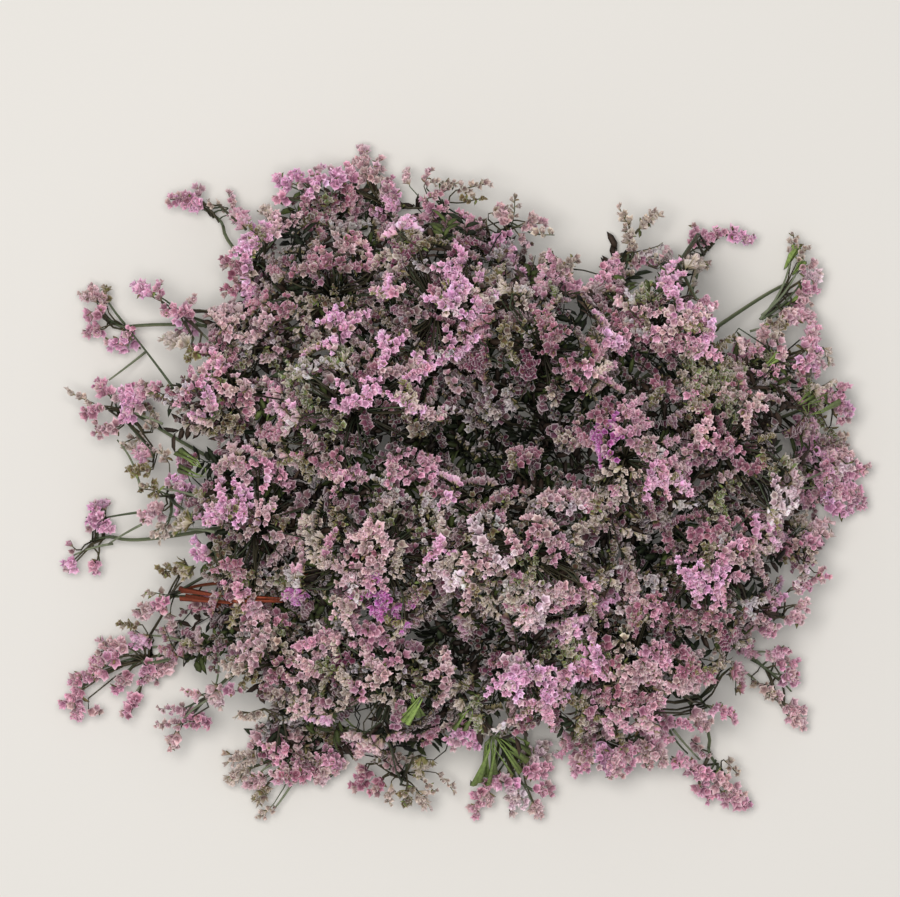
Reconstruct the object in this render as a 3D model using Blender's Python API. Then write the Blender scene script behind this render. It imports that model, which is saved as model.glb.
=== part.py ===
"""Dried statice: a loose bunch of flowering stems, heads up, resting on its cut ends and its lowest blooms.

X runs to the right and Y to the top of the bunch as it is seen from above, Z is up.
Lengths below are in millimetres and angles in degrees. They become metres through MM.
"""
import math

import bmesh
import bpy
from mathutils import Matrix, Vector
from mathutils.bvhtree import BVHTree

MM = 0.001

# Stems: their width where they are cut and where they meet a bloom, a branch's width as a share of its
# stem's, and the space left between a branch and its bloom
FOOT_DIAMETER = 3.6
TIP_DIAMETER = 1.7
BRANCH_SHARE = 0.82
GAP = 0.3
TUBE_ROUNDNESS = 1
STEM_POINTS = 13
BRANCH_POINTS = 8

# The crown, where the cut ends stand together in two rings
CROWN = Vector((30.0, 10.0, 0.0))
INNER_RING = 2.3
OUTER_RING = 6.4

# How a stem leaves the crown: straight up first, then towards a handle this high and this far out
FOOT_STRAIGHT = 4.0
OUTER_LIFT = 58.0
OUTER_LEAN = 6.0
INNER_LIFT = 68.0
INNER_LEAN = 3.0

# Blooms: each is a low dome, flatter below than above
OUTER_RISE = 12.0
OUTER_DROP = 7.0
INNER_RISE = 16.0
INNER_DROP = 9.0
DOME_SEGMENTS = 12
DOME_RINGS = 6
LUMP = 0.05
LUMPS_ROUND = 5
RESTING = OUTER_DROP

# Where a branch meets its bloom, in degrees below the dome's widest line
SEAT_RESTING = -9.0
SEAT_RAISED = 24.0
SEAT_INNER = 62.0
SEAT_STRAIGHT = 3.0

# A branch leaves its stem with a handle of this share of its reach, and meets its bloom with one this long
DEPARTURE = 0.3
OUTER_ARRIVAL = 20.0
INNER_ARRIVAL = 24.0

# Outer stems, by side as seen from above: (slot on the ring, blooms). The stem itself runs on to the
# first bloom, and branches leave it for the others. A bloom is x, y, height of its widest line, half
# its length, half its width and the turn of its length from X. The lowest ones rest on the surface.
OUTER_STEMS = {
    "outer_stem_01": (3, [
        (-45, 150, RESTING, 18, 15, 90),
        (-79, 145, 22, 20, 17, 5),
        (-11, 142, 26, 18, 17, 0),
    ]),
    "outer_stem_02": (2, [
        (51, 108, 46, 17, 16, 0),
        (22, 131, 34, 18, 17, 0),
        (83, 120, 28, 20, 15, 80),
    ]),
    "outer_stem_03": (1, [
        (170, 106, RESTING, 22, 10, 105),
        (126, 121, RESTING, 23, 11, 0),
        (158, 63, 32, 20, 16, 0),
    ]),
    "outer_stem_04": (0, [
        (186, 2, RESTING, 20, 17, 90),
        (190, 43, 16, 17, 11, 110),
        (172, -36, 24, 19, 13, -20),
    ]),
    "outer_stem_05": (-1, [
        (160, -100, RESTING, 20, 12, -55),
        (160, -66, 30, 18, 13, 0),
        (121, -111, 34, 20, 11, 0),
    ]),
    "outer_stem_06": (-2, [
        (80, -135, 24, 23, 14, 0),
        (132, -147, RESTING, 25, 11, -32),
        (32, -148, RESTING, 20, 16, 0),
    ]),
    "outer_stem_07": (-3, [
        (-32, -151, 16, 21, 12, 0),
        (-6, -123, 42, 17, 12, 0),
        (-86, -142, RESTING, 25, 20, 0),
    ]),
    "outer_stem_08": (-4, [
        (-181, -100, RESTING, 25, 13, 30),
        (-142, -119, 20, 18, 11, 0),
        (-150, -57, 26, 18, 13, 0),
    ]),
    "outer_stem_09": (-5, [
        (-188, -29, RESTING, 20, 12, 65),
        (-152, -6, 36, 16, 14, 90),
        (-178, 37, 18, 22, 15, 0),
    ]),
    "outer_stem_10": (-6, [
        (-134, 140, RESTING, 22, 11, 165),
        (-106, 112, 34, 17, 16, 90),
        (-181, 83, RESTING, 20, 11, 120),
        (-147, 88, 30, 18, 14, 0),
    ]),
}

# Inner stems, by the same rule: they stand in the middle and carry the blooms on top
INNER_STEMS = {
    "inner_stem_01": (0, [
        (-118, 46, 60, 25, 22, 0),
        (-54, 36, 100, 27, 25, 0),
        (-66, 94, 72, 26, 25, 0),
        (-104, -20, 68, 26, 25, 90),
        (-94, -88, 58, 27, 22, 0),
    ]),
    "inner_stem_02": (2, [
        (95, 76, 88, 26, 22, 0),
        (78, 12, 112, 22, 20, 90),
        (38, 67, 104, 26, 21, 0),
        (-14, 87, 88, 30, 24, 90),
        (128, 20, 84, 24, 24, 0),
    ]),
    "inner_stem_03": (1, [
        (28, -92, 84, 24, 22, 0),
        (28, -34, 118, 26, 22, 0),
        (-42, -34, 106, 27, 26, 0),
        (82, -88, 76, 26, 23, 0),
        (-34, -96, 74, 26, 20, 0),
        (120, -38, 80, 24, 24, 0),
    ]),
}

# Angles of the slots round the crown
OUTER_SLOT_ANGLE = 36.0
INNER_SLOT_ANGLE = 120.0
INNER_FIRST_ANGLE = 150.0

# The branches leave their stem one after another, at these shares of its length
OUTER_FORKS = (0.36, 0.45, 0.28)
INNER_FORKS = (0.52, 0.32, 0.27, 0.38, 0.22)

# Colours, as linear red, green and blue
STEM_GREEN = (0.10, 0.13, 0.07)
STEM_RUST = (0.30, 0.09, 0.04)
LILAC = (0.58, 0.27, 0.46)
DUSKY = (0.46, 0.22, 0.28)
TAN = (0.42, 0.33, 0.24)

DUSKY_SIDE_X = 60.0
TAN_BLOOMS = ("outer_bloom_06", "outer_bloom_19", "outer_bloom_21", "inner_bloom_12")
RUST_STEM = "outer_stem_08"


def clear_scene():
    for thing in list(bpy.data.objects):
        bpy.data.objects.remove(thing, do_unlink=True)


def new_collection(name):
    collection = bpy.data.collections.new(name)
    bpy.context.scene.collection.children.link(collection)
    return collection


def finish(name, colour, roughness):
    """A dull, dry surface of one colour."""
    material = bpy.data.materials.new(name)
    material.use_nodes = True
    shader = material.node_tree.nodes["Principled BSDF"]
    shader.inputs["Base Color"].default_value = (*colour, 1.0)
    shader.inputs["Roughness"].default_value = roughness
    shader.inputs["Metallic"].default_value = 0.0
    return material


def bezier(start, first_handle, last_handle, end, count):
    """Points along a cubic Bezier curve, evenly spaced in its parameter."""
    points = []
    for step in range(count):
        t = step / (count - 1)
        u = 1.0 - t
        points.append(start * u ** 3 + first_handle * (3 * u * u * t)
                      + last_handle * (3 * u * t * t) + end * t ** 3)
    return points


def tube(name, points, diameters):
    """A tapering tube along the points, closed at both ends, as a mesh in metres."""
    curve = bpy.data.curves.new(name, "CURVE")
    curve.dimensions = "3D"
    curve.bevel_depth = MM
    curve.bevel_resolution = TUBE_ROUNDNESS
    curve.use_fill_caps = True
    spline = curve.splines.new("POLY")
    spline.points.add(len(points) - 1)
    for target, point, diameter in zip(spline.points, points, diameters):
        target.co = (*(point * MM), 1.0)
        target.radius = diameter / 2
    guide = bpy.data.objects.new(name, curve)
    bpy.context.scene.collection.objects.link(guide)
    evaluated = guide.evaluated_get(bpy.context.evaluated_depsgraph_get())
    mesh = bpy.data.meshes.new_from_object(evaluated)
    bpy.data.objects.remove(guide)
    shape = bmesh.new()
    shape.from_mesh(mesh)
    bmesh.ops.remove_doubles(shape, verts=shape.verts, dist=0.00001)
    bmesh.ops.recalc_face_normals(shape, faces=shape.faces)
    shape.to_mesh(mesh)
    shape.free()
    return mesh


def taper(first, last, count):
    return [first + (last - first) * step / (count - 1) for step in range(count)]


def dome_mesh(name, half_length, half_width, rise, drop):
    """A flattened ball, thinner below its widest line than above, with shallow lumps round its rim."""
    mesh = bpy.data.meshes.new(name)
    shape = bmesh.new()
    bmesh.ops.create_uvsphere(shape, u_segments=DOME_SEGMENTS, v_segments=DOME_RINGS, radius=1.0)
    for vertex in shape.verts:
        x, y, z = vertex.co
        swell = 1.0 + LUMP * math.cos(LUMPS_ROUND * math.atan2(y, x)) * math.hypot(x, y)
        height = rise if z > 0 else drop
        vertex.co = Vector((x * half_length * swell, y * half_width * swell, z * height)) * MM
    shape.to_mesh(mesh)
    shape.free()
    mesh.shade_smooth()
    return mesh


def add_bloom(name, bloom, rise, drop, material, collection, parent):
    """Places one dome with its widest line at the height given."""
    x, y, height, half_length, half_width, turn = bloom
    mesh = dome_mesh(name, half_length, half_width, rise, drop)
    mesh.materials.append(material)
    dome = bpy.data.objects.new(name, mesh)
    dome.location = Vector((x, y, height)) * MM
    dome.rotation_euler = (0.0, 0.0, math.radians(turn))
    dome.parent = parent
    collection.objects.link(dome)
    return dome


def seat_on(dome, degrees_below):
    """Where a branch meets a dome on the side that faces the crown, and the way that the dome faces there."""
    shape = bmesh.new()
    shape.from_mesh(dome.data)
    place = Matrix.Translation(dome.location) @ dome.rotation_euler.to_matrix().to_4x4()
    shape.transform(place)
    shape.normal_update()
    tree = BVHTree.FromBMesh(shape)
    inward = CROWN * MM - dome.location
    inward.z = 0.0
    inward.normalize()
    dip = math.radians(degrees_below)
    outward_ray = inward * math.cos(dip) + Vector((0.0, 0.0, -math.sin(dip)))
    far_point = dome.location + outward_ray * 0.2
    touch, normal, _, _ = tree.ray_cast(far_point, -outward_ray)
    shape.free()
    return touch / MM, normal


def to_seat(start, first_handle, seat, arrival, count):
    """A curve that ends in a short straight stretch, square to the face of the bloom that it meets."""
    touch, normal = seat
    tip = touch + normal * GAP
    end = tip + normal * SEAT_STRAIGHT
    last_handle = end + normal * arrival
    return bezier(start, first_handle, last_handle, end, count - 1) + [tip]


def stem_curve(foot, lift, lean, arrival, seat):
    """From the cut end straight up, then over and out to the seat of the stem's own bloom."""
    outward = seat[0] - foot
    outward.z = 0.0
    outward.normalize()
    start = foot + Vector((0.0, 0.0, FOOT_STRAIGHT))
    first_handle = foot + outward * lean + Vector((0.0, 0.0, lift))
    return [foot] + to_seat(start, first_handle, seat, arrival, STEM_POINTS - 1)


def branch_curve(stem_points, share, arrival, seat):
    """Leaves the stem along its own direction and bends over to the seat of its bloom."""
    position = share * (len(stem_points) - 1)
    index = int(position)
    part = position - index
    start = stem_points[index].lerp(stem_points[index + 1], part)
    along = (stem_points[index + 1] - stem_points[index]).normalized()
    first_handle = start + along * (seat[0] - start).length * DEPARTURE
    return to_seat(start, first_handle, seat, arrival, BRANCH_POINTS)


def united(name, meshes):
    """One closed solid from a stem and its branches."""
    collection = new_collection(name + "_branches")
    stem = bpy.data.objects.new(name, meshes[0])
    bpy.context.scene.collection.objects.link(stem)
    for number, mesh in enumerate(meshes[1:]):
        branch = bpy.data.objects.new(f"{name}_branch_{number}", mesh)
        collection.objects.link(branch)
        join = stem.modifiers.new(f"join_{number}", "BOOLEAN")
        join.operation = "UNION"
        join.solver = "EXACT"
        join.object = branch
    evaluated = stem.evaluated_get(bpy.context.evaluated_depsgraph_get())
    mesh = bpy.data.meshes.new_from_object(evaluated)
    for thing in [stem, *collection.objects]:
        bpy.data.objects.remove(thing)
    bpy.data.collections.remove(collection)
    mesh.name = name
    return mesh


def add_stem(name, foot, ring, seats, material, collection, parent):
    """A stem with one branch for each bloom but the first, which it carries itself."""
    main = stem_curve(foot, ring["lift"], ring["lean"], ring["arrival"], seats[0])
    meshes = [tube(name, [point - foot for point in main], taper(FOOT_DIAMETER, TIP_DIAMETER, STEM_POINTS))]
    for share, seat in zip(ring["forks"], seats[1:]):
        points = branch_curve(main, share, ring["arrival"], seat)
        stem_there = FOOT_DIAMETER + (TIP_DIAMETER - FOOT_DIAMETER) * share
        widths = taper(stem_there * BRANCH_SHARE, TIP_DIAMETER, BRANCH_POINTS)
        meshes.append(tube(name, [point - foot for point in points], widths))
    mesh = united(name, meshes)
    mesh.materials.clear()
    mesh.materials.append(material)
    mesh.shade_smooth()
    stem = bpy.data.objects.new(name, mesh)
    stem.location = foot * MM
    stem.parent = parent
    collection.objects.link(stem)
    return stem


def ring_place(radius, degrees):
    angle = math.radians(degrees)
    return CROWN + Vector((radius * math.cos(angle), radius * math.sin(angle), 0.0))


def bloom_material(name, x, materials):
    if name in TAN_BLOOMS:
        return materials["tan"]
    return materials["dusky"] if x > DUSKY_SIDE_X else materials["lilac"]


def add_row(stems, kind, ring, materials, collection, parent):
    """All the stems of one ring with their blooms."""
    count = 0
    for stem_name, (slot, blooms) in stems.items():
        seats = []
        for bloom in blooms:
            count += 1
            name = f"{kind}_bloom_{count:02d}"
            colour = bloom_material(name, bloom[0], materials)
            dome = add_bloom(name, bloom, ring["rise"], ring["drop"], colour, collection, parent)
            if kind == "inner":
                dip = SEAT_INNER
            else:
                dip = SEAT_RESTING if bloom[2] == RESTING else SEAT_RAISED
            seats.append(seat_on(dome, dip))
        foot = ring_place(ring["radius"], ring["first"] + slot * ring["step"])
        stem_material = materials["rust"] if stem_name == RUST_STEM else materials["green"]
        add_stem(stem_name, foot, ring, seats, stem_material, collection, parent)


def centre_on_origin(parent, collection):
    """Moves the whole bunch so that the middle of its plan is over the origin."""
    bpy.context.view_layer.update()
    places = [thing.matrix_world @ vertex.co for thing in collection.objects if thing.type == "MESH"
              for vertex in thing.data.vertices]
    low_x, high_x = min(p.x for p in places), max(p.x for p in places)
    low_y, high_y = min(p.y for p in places), max(p.y for p in places)
    parent.location = (-(low_x + high_x) / 2, -(low_y + high_y) / 2, 0.0)
    bpy.context.view_layer.update()


def build():
    clear_scene()
    collection = new_collection("dried_statice")
    parent = bpy.data.objects.new("bunch", None)
    collection.objects.link(parent)
    materials = {
        "green": finish("stem_green", STEM_GREEN, 0.75),
        "rust": finish("stem_rust", STEM_RUST, 0.75),
        "lilac": finish("bloom_lilac", LILAC, 0.85),
        "dusky": finish("bloom_dusky", DUSKY, 0.85),
        "tan": finish("bloom_tan", TAN, 0.85),
    }
    outer = {"radius": OUTER_RING, "first": 0.0, "step": OUTER_SLOT_ANGLE, "lift": OUTER_LIFT,
             "lean": OUTER_LEAN, "arrival": OUTER_ARRIVAL, "forks": OUTER_FORKS,
             "rise": OUTER_RISE, "drop": OUTER_DROP}
    inner = {"radius": INNER_RING, "first": INNER_FIRST_ANGLE, "step": INNER_SLOT_ANGLE, "lift": INNER_LIFT,
             "lean": INNER_LEAN, "arrival": INNER_ARRIVAL, "forks": INNER_FORKS,
             "rise": INNER_RISE, "drop": INNER_DROP}
    add_row(OUTER_STEMS, "outer", outer, materials, collection, parent)
    add_row(INNER_STEMS, "inner", inner, materials, collection, parent)
    centre_on_origin(parent, collection)


build()
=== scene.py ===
# %% [markdown]
# # Dried statice
#
# A loose bunch of dried statice, seen from straight above. On the real thing, thin green stems rise from
# their cut ends in the middle, fork, and end in one-sided combs of small papery florets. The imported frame
# already has every stem and every flower head as a plain solid in its right place. This lesson grows the
# real stalks, scale leaves and florets on them. Lengths are in millimetres, and x and y are measured from
# the middle of the bunch as it is seen from above.

# %% Load the frame
import math

import bpy
import numpy as np
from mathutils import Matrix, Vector
from mathutils.bvhtree import BVHTree


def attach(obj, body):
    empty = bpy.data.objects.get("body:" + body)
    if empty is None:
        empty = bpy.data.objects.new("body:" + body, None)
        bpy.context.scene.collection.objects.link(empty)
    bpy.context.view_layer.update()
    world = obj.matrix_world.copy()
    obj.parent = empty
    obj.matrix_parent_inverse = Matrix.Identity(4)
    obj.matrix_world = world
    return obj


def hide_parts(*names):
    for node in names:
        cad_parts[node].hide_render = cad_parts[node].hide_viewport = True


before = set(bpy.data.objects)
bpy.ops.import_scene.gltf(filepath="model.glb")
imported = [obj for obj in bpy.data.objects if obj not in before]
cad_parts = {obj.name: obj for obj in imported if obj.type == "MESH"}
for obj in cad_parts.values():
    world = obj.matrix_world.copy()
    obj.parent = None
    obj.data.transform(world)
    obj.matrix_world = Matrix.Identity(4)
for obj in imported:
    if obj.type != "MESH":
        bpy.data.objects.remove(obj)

MM = 0.001
UP = np.array([0.0, 0.0, 1.0])
LOWEST = 0.15
FLORET, LEAF, STALK = 0, 1, 2
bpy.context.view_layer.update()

# %% [markdown]
# ## Where things are
#
# The stems stand on their cut ends in a small ring, the crown. Its middle is read from the frame, and the
# bunch's own plan is measured from a point 30 mm left of it and 10 mm nearer, so that places can be given as
# they are read off a view from above. A flower head's solid is a low dome with one vertex at its very top,
# so that vertex gives the middle of the head.

# %% Places read from the frame
CROWN_IN_PLAN = np.array([30.0, 10.0, 0.0])
RISE = {"outer": 12.0, "inner": 16.0}


def node_points(name):
    """All the corners of a CAD node, in frame millimetres."""
    points = np.empty(len(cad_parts[name].data.vertices) * 3)
    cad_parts[name].data.vertices.foreach_get("co", points)
    return points.reshape(-1, 3) / MM


def foot_in_frame(stem):
    """The middle of a stem's cut end: half way between the extremes of the corners that touch the surface."""
    points = node_points(stem)
    low = points[points[:, 2] < 0.1]
    return (low.min(0) + low.max(0)) / 2


inner_stems = sorted(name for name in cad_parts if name.startswith("inner_stem"))
outer_stems = sorted(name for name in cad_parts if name.startswith("outer_stem"))
crown_in_frame = np.mean([foot_in_frame(stem) for stem in inner_stems], axis=0)
PLAN_SHIFT = (crown_in_frame - CROWN_IN_PLAN) * (1, 1, 0)


def head_middle(bloom):
    """The top corner's place in plan, and the height of the dome's widest line under it."""
    points = node_points(bloom)
    top = points[points[:, 2].argmax()] - PLAN_SHIFT
    return top - UP * RISE[bloom.split("_")[0]]


print("the plan's own origin is at", PLAN_SHIFT.round(2), "mm in the frame")

# %% [markdown]
# ## Every piece is made of closed skins
#
# A floret, a scale leaf and a stalk look different, but each can be made the same way: a few rings of
# points, one after another, with a single point at each end. That is one closed skin with no open seam.
# All copies of a shape are worked out together in one array, one row for each copy.

# %% Closed skins
def skin_faces(rings, columns):
    """Faces of one closed skin: a fan round the first point, four-sided faces between rings, a last fan.

    Points are numbered: the first end, each ring in turn, the last end. Faces point outwards when the
    rings run round the direction from the first end to the last by the right-hand rule.
    """
    ring = 1 + np.arange(rings * columns).reshape(rings, columns)
    beside = np.roll(ring, -1, axis=1)
    last_point = np.full(columns, rings * columns + 1)
    first_fan = np.stack([np.zeros(columns, int), beside[0], ring[0]], axis=1)
    last_fan = np.stack([ring[-1], beside[-1], last_point], axis=1)
    between = np.stack([ring[:-1], beside[:-1], beside[1:], ring[1:]], axis=-1).reshape(-1, 4)
    return np.concatenate([first_fan, last_fan]), between


def unit(vectors):
    return vectors / np.maximum(np.linalg.norm(vectors, axis=-1, keepdims=True), 1e-9)


def sideways(forward, roughly_up):
    """A direction square to forward, level with roughly_up."""
    return unit(np.cross(forward, roughly_up))


class Heap:
    """Collects the skins of one piece, with the values its finishes read, and makes one mesh of them."""

    def __init__(self):
        self.points, self.tints, self.along, self.folds = [], [], [], []
        self.triangles, self.quads, self.triangle_finish, self.quad_finish = [], [], [], []
        self.count = 0

    def add(self, skins, rings, columns, finish, tint, along, fold):
        """skins is (copies, points, 3). tint is a colour for each copy, or for each point of each copy."""
        copies, size = skins.shape[:2]
        skins = skins.copy()
        if finish == STALK:
            skins[..., 2] = np.maximum(skins[..., 2], LOWEST)
        else:
            skins[..., 2] += np.maximum(LOWEST - skins[..., 2].min(1), 0)[:, None]
        triangles, quads = skin_faces(rings, columns)
        starts = self.count + np.arange(copies) * size
        self.triangles.append((starts[:, None, None] + triangles).reshape(-1, 3))
        self.quads.append((starts[:, None, None] + quads).reshape(-1, 4))
        self.triangle_finish.append(np.full(copies * len(triangles), finish))
        self.quad_finish.append(np.full(copies * len(quads), finish))
        self.points.append(skins.reshape(-1, 3))
        tint = tint if tint.ndim == 3 else tint[:, None, :]
        self.tints.append(np.broadcast_to(tint, (copies, size, 3)).reshape(-1, 3))
        self.along.append(np.broadcast_to(along, (copies, size)).ravel())
        self.folds.append(np.broadcast_to(fold, (copies, size)).ravel())
        self.count += copies * size

    def mesh(self, name, finishes, smooth_finishes):
        points = (np.concatenate(self.points) + PLAN_SHIFT) * MM
        triangles, quads = np.concatenate(self.triangles), np.concatenate(self.quads)
        mesh = bpy.data.meshes.new(name)
        mesh.vertices.add(len(points))
        mesh.vertices.foreach_set("co", points.astype(np.float32).ravel())
        mesh.loops.add(triangles.size + quads.size)
        mesh.loops.foreach_set("vertex_index", np.concatenate([triangles.ravel(), quads.ravel()]).astype(np.int32))
        sizes = np.repeat([3, 4], [len(triangles), len(quads)])
        mesh.polygons.add(len(sizes))
        mesh.polygons.foreach_set("loop_start", np.concatenate([[0], np.cumsum(sizes)[:-1]]).astype(np.int32))
        finish = np.concatenate(self.triangle_finish + self.quad_finish)
        mesh.polygons.foreach_set("material_index", finish.astype(np.int32))
        mesh.polygons.foreach_set("use_smooth", np.isin(finish, smooth_finishes))
        for material in finishes:
            mesh.materials.append(material)
        tint = mesh.attributes.new("tint", "FLOAT_COLOR", "POINT")
        tints = np.concatenate(self.tints)
        tint.data.foreach_set("color", np.column_stack([tints, np.ones(len(tints))]).astype(np.float32).ravel())
        for title, values in (("along", self.along), ("fold", self.folds)):
            attribute = mesh.attributes.new(title, "FLOAT", "POINT")
            attribute.data.foreach_set("value", np.concatenate(values).astype(np.float32))
        mesh.update(calc_edges=True)
        mesh.validate()
        return mesh


# %% [markdown]
# ## The floret
#
# What looks like a flower on dried statice is its calyx: a papery funnel with five pleats. It starts as a
# thin tube, flares to a rim with five points, and folds back inside to a throat, which its finish darkens
# with painted shade. Ten columns are enough, one on each point and one in each notch. A fresh floret is
# wide open; a withered one stays nearly shut and crumples, so each copy has its own openness and its own
# crumpling.

# %% The floret's shape
PLEATS = 5
# Each ring of the funnel: radius shut, radius open, height shut, height open, how far points stand out of
# the ring, how far they stand up, and the place along the funnel, from 0 at the base through 1 at the rim
FUNNEL = np.array([
    (1.05, 2.20, 4.6, 3.8, 0.34, 0.45, 1.00),
    (0.65, 1.35, 3.8, 3.0, 0.10, 0.10, 1.45),
])
PLAIN_FUNNEL = FUNNEL[:1]
THROAT_DEPTH = 1.2


def florets(origins, directions, sizes, openness, crumple, funnel, columns, rng):
    """Papery funnels, one for each origin.

    Ring by ring, a point is at radius r + p cos(5a) and height h + q cos(5a) at angle a, so five points and
    five notches alternate. r and h go from their shut to their open values with the openness. A random
    offset that grows towards the rim crumples each copy in its own way.
    """
    shut_r, open_r, shut_h, open_h, out, rise, along = funnel.T
    angle = 2 * np.pi * np.arange(columns) / columns
    wave = np.cos(PLEATS * angle)
    mix = openness[:, None]
    radius = (shut_r + (open_r - shut_r) * mix)[:, :, None] + (out * (0.3 + 0.7 * mix))[:, :, None] * wave
    height = (shut_h + (open_h - shut_h) * mix)[:, :, None] + (rise * mix)[:, :, None] * wave
    loose = crumple[:, None, None] * (along[:, None] * (2 - along[:, None]))
    radius = radius * (1 + loose * rng.normal(0, 0.2, radius.shape))
    height = height + loose * rng.normal(0, 0.6, height.shape)
    for ring in range(1, len(funnel)):
        height[:, ring] = np.minimum(height[:, ring], height[:, ring - 1] - 0.3)
        radius[:, ring] = np.minimum(radius[:, ring], radius[:, ring - 1] - 0.3)
    turned = angle + rng.uniform(0, 2 * np.pi, (len(origins), 1, 1))
    local = np.stack([radius * np.cos(turned), radius * np.sin(turned), height], axis=-1)
    ends = np.zeros((len(origins), 2, 3))
    ends[:, 1, 2] = height[:, -1].min(1) - THROAT_DEPTH
    local = np.concatenate([ends[:, :1], local.reshape(len(origins), -1, 3), ends[:, 1:]], axis=1)
    local = local * sizes[:, None, None]
    axis = unit(directions)
    helper = np.where(np.abs(axis[:, 2:]) < 0.9, UP, np.array([1.0, 0.0, 0.0]))
    across = sideways(axis, helper)
    over = np.cross(axis, across)
    return (origins[:, None, :] + local[..., :1] * across[:, None, :] + local[..., 1:2] * over[:, None, :]
            + local[..., 2:] * axis[:, None, :])


def floret_values(funnel, columns):
    """The two values that the floret's finish reads: the place along the funnel, and 1 on points, -1 in notches."""
    along = np.concatenate([[0.0], np.repeat(funnel[:, 6], columns), [2.0]])
    wave = np.tile(np.cos(PLEATS * 2 * np.pi * np.arange(columns) / columns), len(funnel))
    return along, np.concatenate([[0.0], wave, [0.0]])


# %% [markdown]
# ## Scale leaves and stalks
#
# Under each floret sits a small boat-shaped scale leaf, green on the lower parts and tan where it has dried.
# It is a flat pointed skin with only two rings. A stalk is a round or winged profile carried along a path.

# %% Scale leaves and stalks
LEAF_COLUMNS = 4
LEAF_RINGS = np.array([(0.28, 0.85), (0.68, 0.80)])
LEAF_ALONG = np.concatenate([[0.0], np.repeat(LEAF_RINGS[:, 0], LEAF_COLUMNS), [1.0]])


def scale_leaves(origins, directions, faces, lengths, widths, outline=LEAF_RINGS):
    """Pointed scales: at share s of the length, the ring is an ellipse, wide across and thin through."""
    axis = unit(directions)
    across = sideways(axis, faces)
    through = np.cross(across, axis)
    angle = 2 * np.pi * np.arange(LEAF_COLUMNS) / LEAF_COLUMNS
    copies = len(origins)
    rings = []
    for share, full in outline:
        middle = origins + axis * (lengths * share)[:, None] + through * (0.12 * lengths)[:, None]
        wide = (widths * full / 2)[:, None, None] * np.cos(angle)[None, :, None] * across[:, None, :]
        thin = (widths * full / 7)[:, None, None] * np.sin(angle)[None, :, None] * through[:, None, :]
        rings.append(middle[:, None, :] + wide + thin)
    tip = origins + axis * lengths[:, None]
    rings = np.stack(rings, 1).reshape(copies, len(LEAF_RINGS) * LEAF_COLUMNS, 3)
    return np.concatenate([origins[:, None], rings, tip[:, None]], axis=1)


def bezier(start, first_handle, last_handle, end, steps):
    """Points on cubic Bezier curves, (curves, steps, 3): each handle is weighted by its Bernstein share."""
    t = np.linspace(0, 1, steps)[:, None]
    u = 1 - t
    return (start[:, None] * u ** 3 + first_handle[:, None] * (3 * u * u * t)
            + last_handle[:, None] * (3 * u * t * t) + end[:, None] * t ** 3)


def tubes(paths, radii, columns, across, wings=0, wing_depth=0.0):
    """A profile carried along each path: at angle a its radius is r times 1 + d cos(w a), for w wings.

    paths is (copies, rings, 3) and radii (copies, rings). across is a direction for each copy that the
    profile starts from, made square to the path at every ring.
    """
    forward = unit(np.gradient(paths, axis=1))
    first = unit(across[:, None, :] - forward * (forward * across[:, None, :]).sum(-1, keepdims=True))
    second = np.cross(forward, first)
    angle = 2 * np.pi * np.arange(columns) / columns
    swell = 1 + wing_depth * np.cos(wings * angle)
    rim = radii[..., None, None] * swell[:, None]
    skin = paths[:, :, None, :] + rim * (np.cos(angle)[:, None] * first[:, :, None, :]
                                         + np.sin(angle)[:, None] * second[:, :, None, :])
    copies = len(paths)
    return np.concatenate([paths[:, :1], skin.reshape(copies, -1, 3), paths[:, -1:]], axis=1)


# %% [markdown]
# ## Colours
#
# Colours were judged: lilac pink on the left and at the top, dusky pink on the right, cream and tan
# where the florets have withered, grey in the shaded middle. They are given as a screen shows them and made
# linear, which is what a shader needs.

# %% Colours
def paint(red, green, blue):
    """A colour as a screen shows it, from 0 to 255, as linear red, green and blue."""
    shown = np.array([red, green, blue]) / 255
    return np.where(shown <= 0.04045, shown / 12.92, ((shown + 0.055) / 1.055) ** 2.4)


PETALS = {
    "bright": paint(224, 172, 204),
    "pink": paint(212, 160, 182),
    "pale": paint(226, 204, 212),
    "rose": paint(178, 122, 140),
    "magenta": paint(180, 98, 168),
    "shell": paint(210, 176, 182),
    "cream": paint(196, 182, 168),
    "grey": paint(200, 194, 196),
    "olive": paint(128, 122, 76),
    "dusk": paint(120, 92, 96),
    "wine": paint(132, 70, 98),
    "green": paint(116, 132, 78),
}
LEAF_GREEN = paint(86, 98, 52)
# dark leaf colours for the lowest layer: partly a dried leaf's own brown and green, partly painted shade for the gaps
# between heads
LEAF_DARK = paint(72, 56, 46)
LEAF_DEEP = paint(50, 60, 38)
LEAF_FRESH = paint(132, 154, 84)
LEAF_TAN = paint(126, 106, 76)
STALK_GREEN = paint(86, 96, 72)
STALK_PALE = paint(126, 134, 108)
STALK_DULL = paint(82, 76, 56)
STALK_RUST = paint(140, 66, 44)
RIM_PALE = paint(238, 222, 226)
# the colour deep inside the funnel: painted shade in the throat
THROAT_SHADE = paint(92, 34, 62)
CALYX = paint(150, 138, 104)


# %% [markdown]
# ## The comb
#
# A comb is a short curved twig with two rows of florets on its upper side, each with its scale leaf. The
# same rule makes them all: florets sit at even steps along the twig, lean left and right in turn, and lean a
# little forward. The last ones are smaller.

# %% Combs of florets
FLORET_STEP = 1.6
MOST_FLORETS = 14
TWIG_STEPS = 3
STALK_STEPS = 4
TWIG_COLUMNS = 3
LEAF_SHARE = 0.32
LEAVES_ON_TWIG = 8
LEAVES_IN_WING = 4
WEDGE_RINGS = np.array([(0.12, 0.22), (0.93, 1.0)])
FLECK = 0.12


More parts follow.
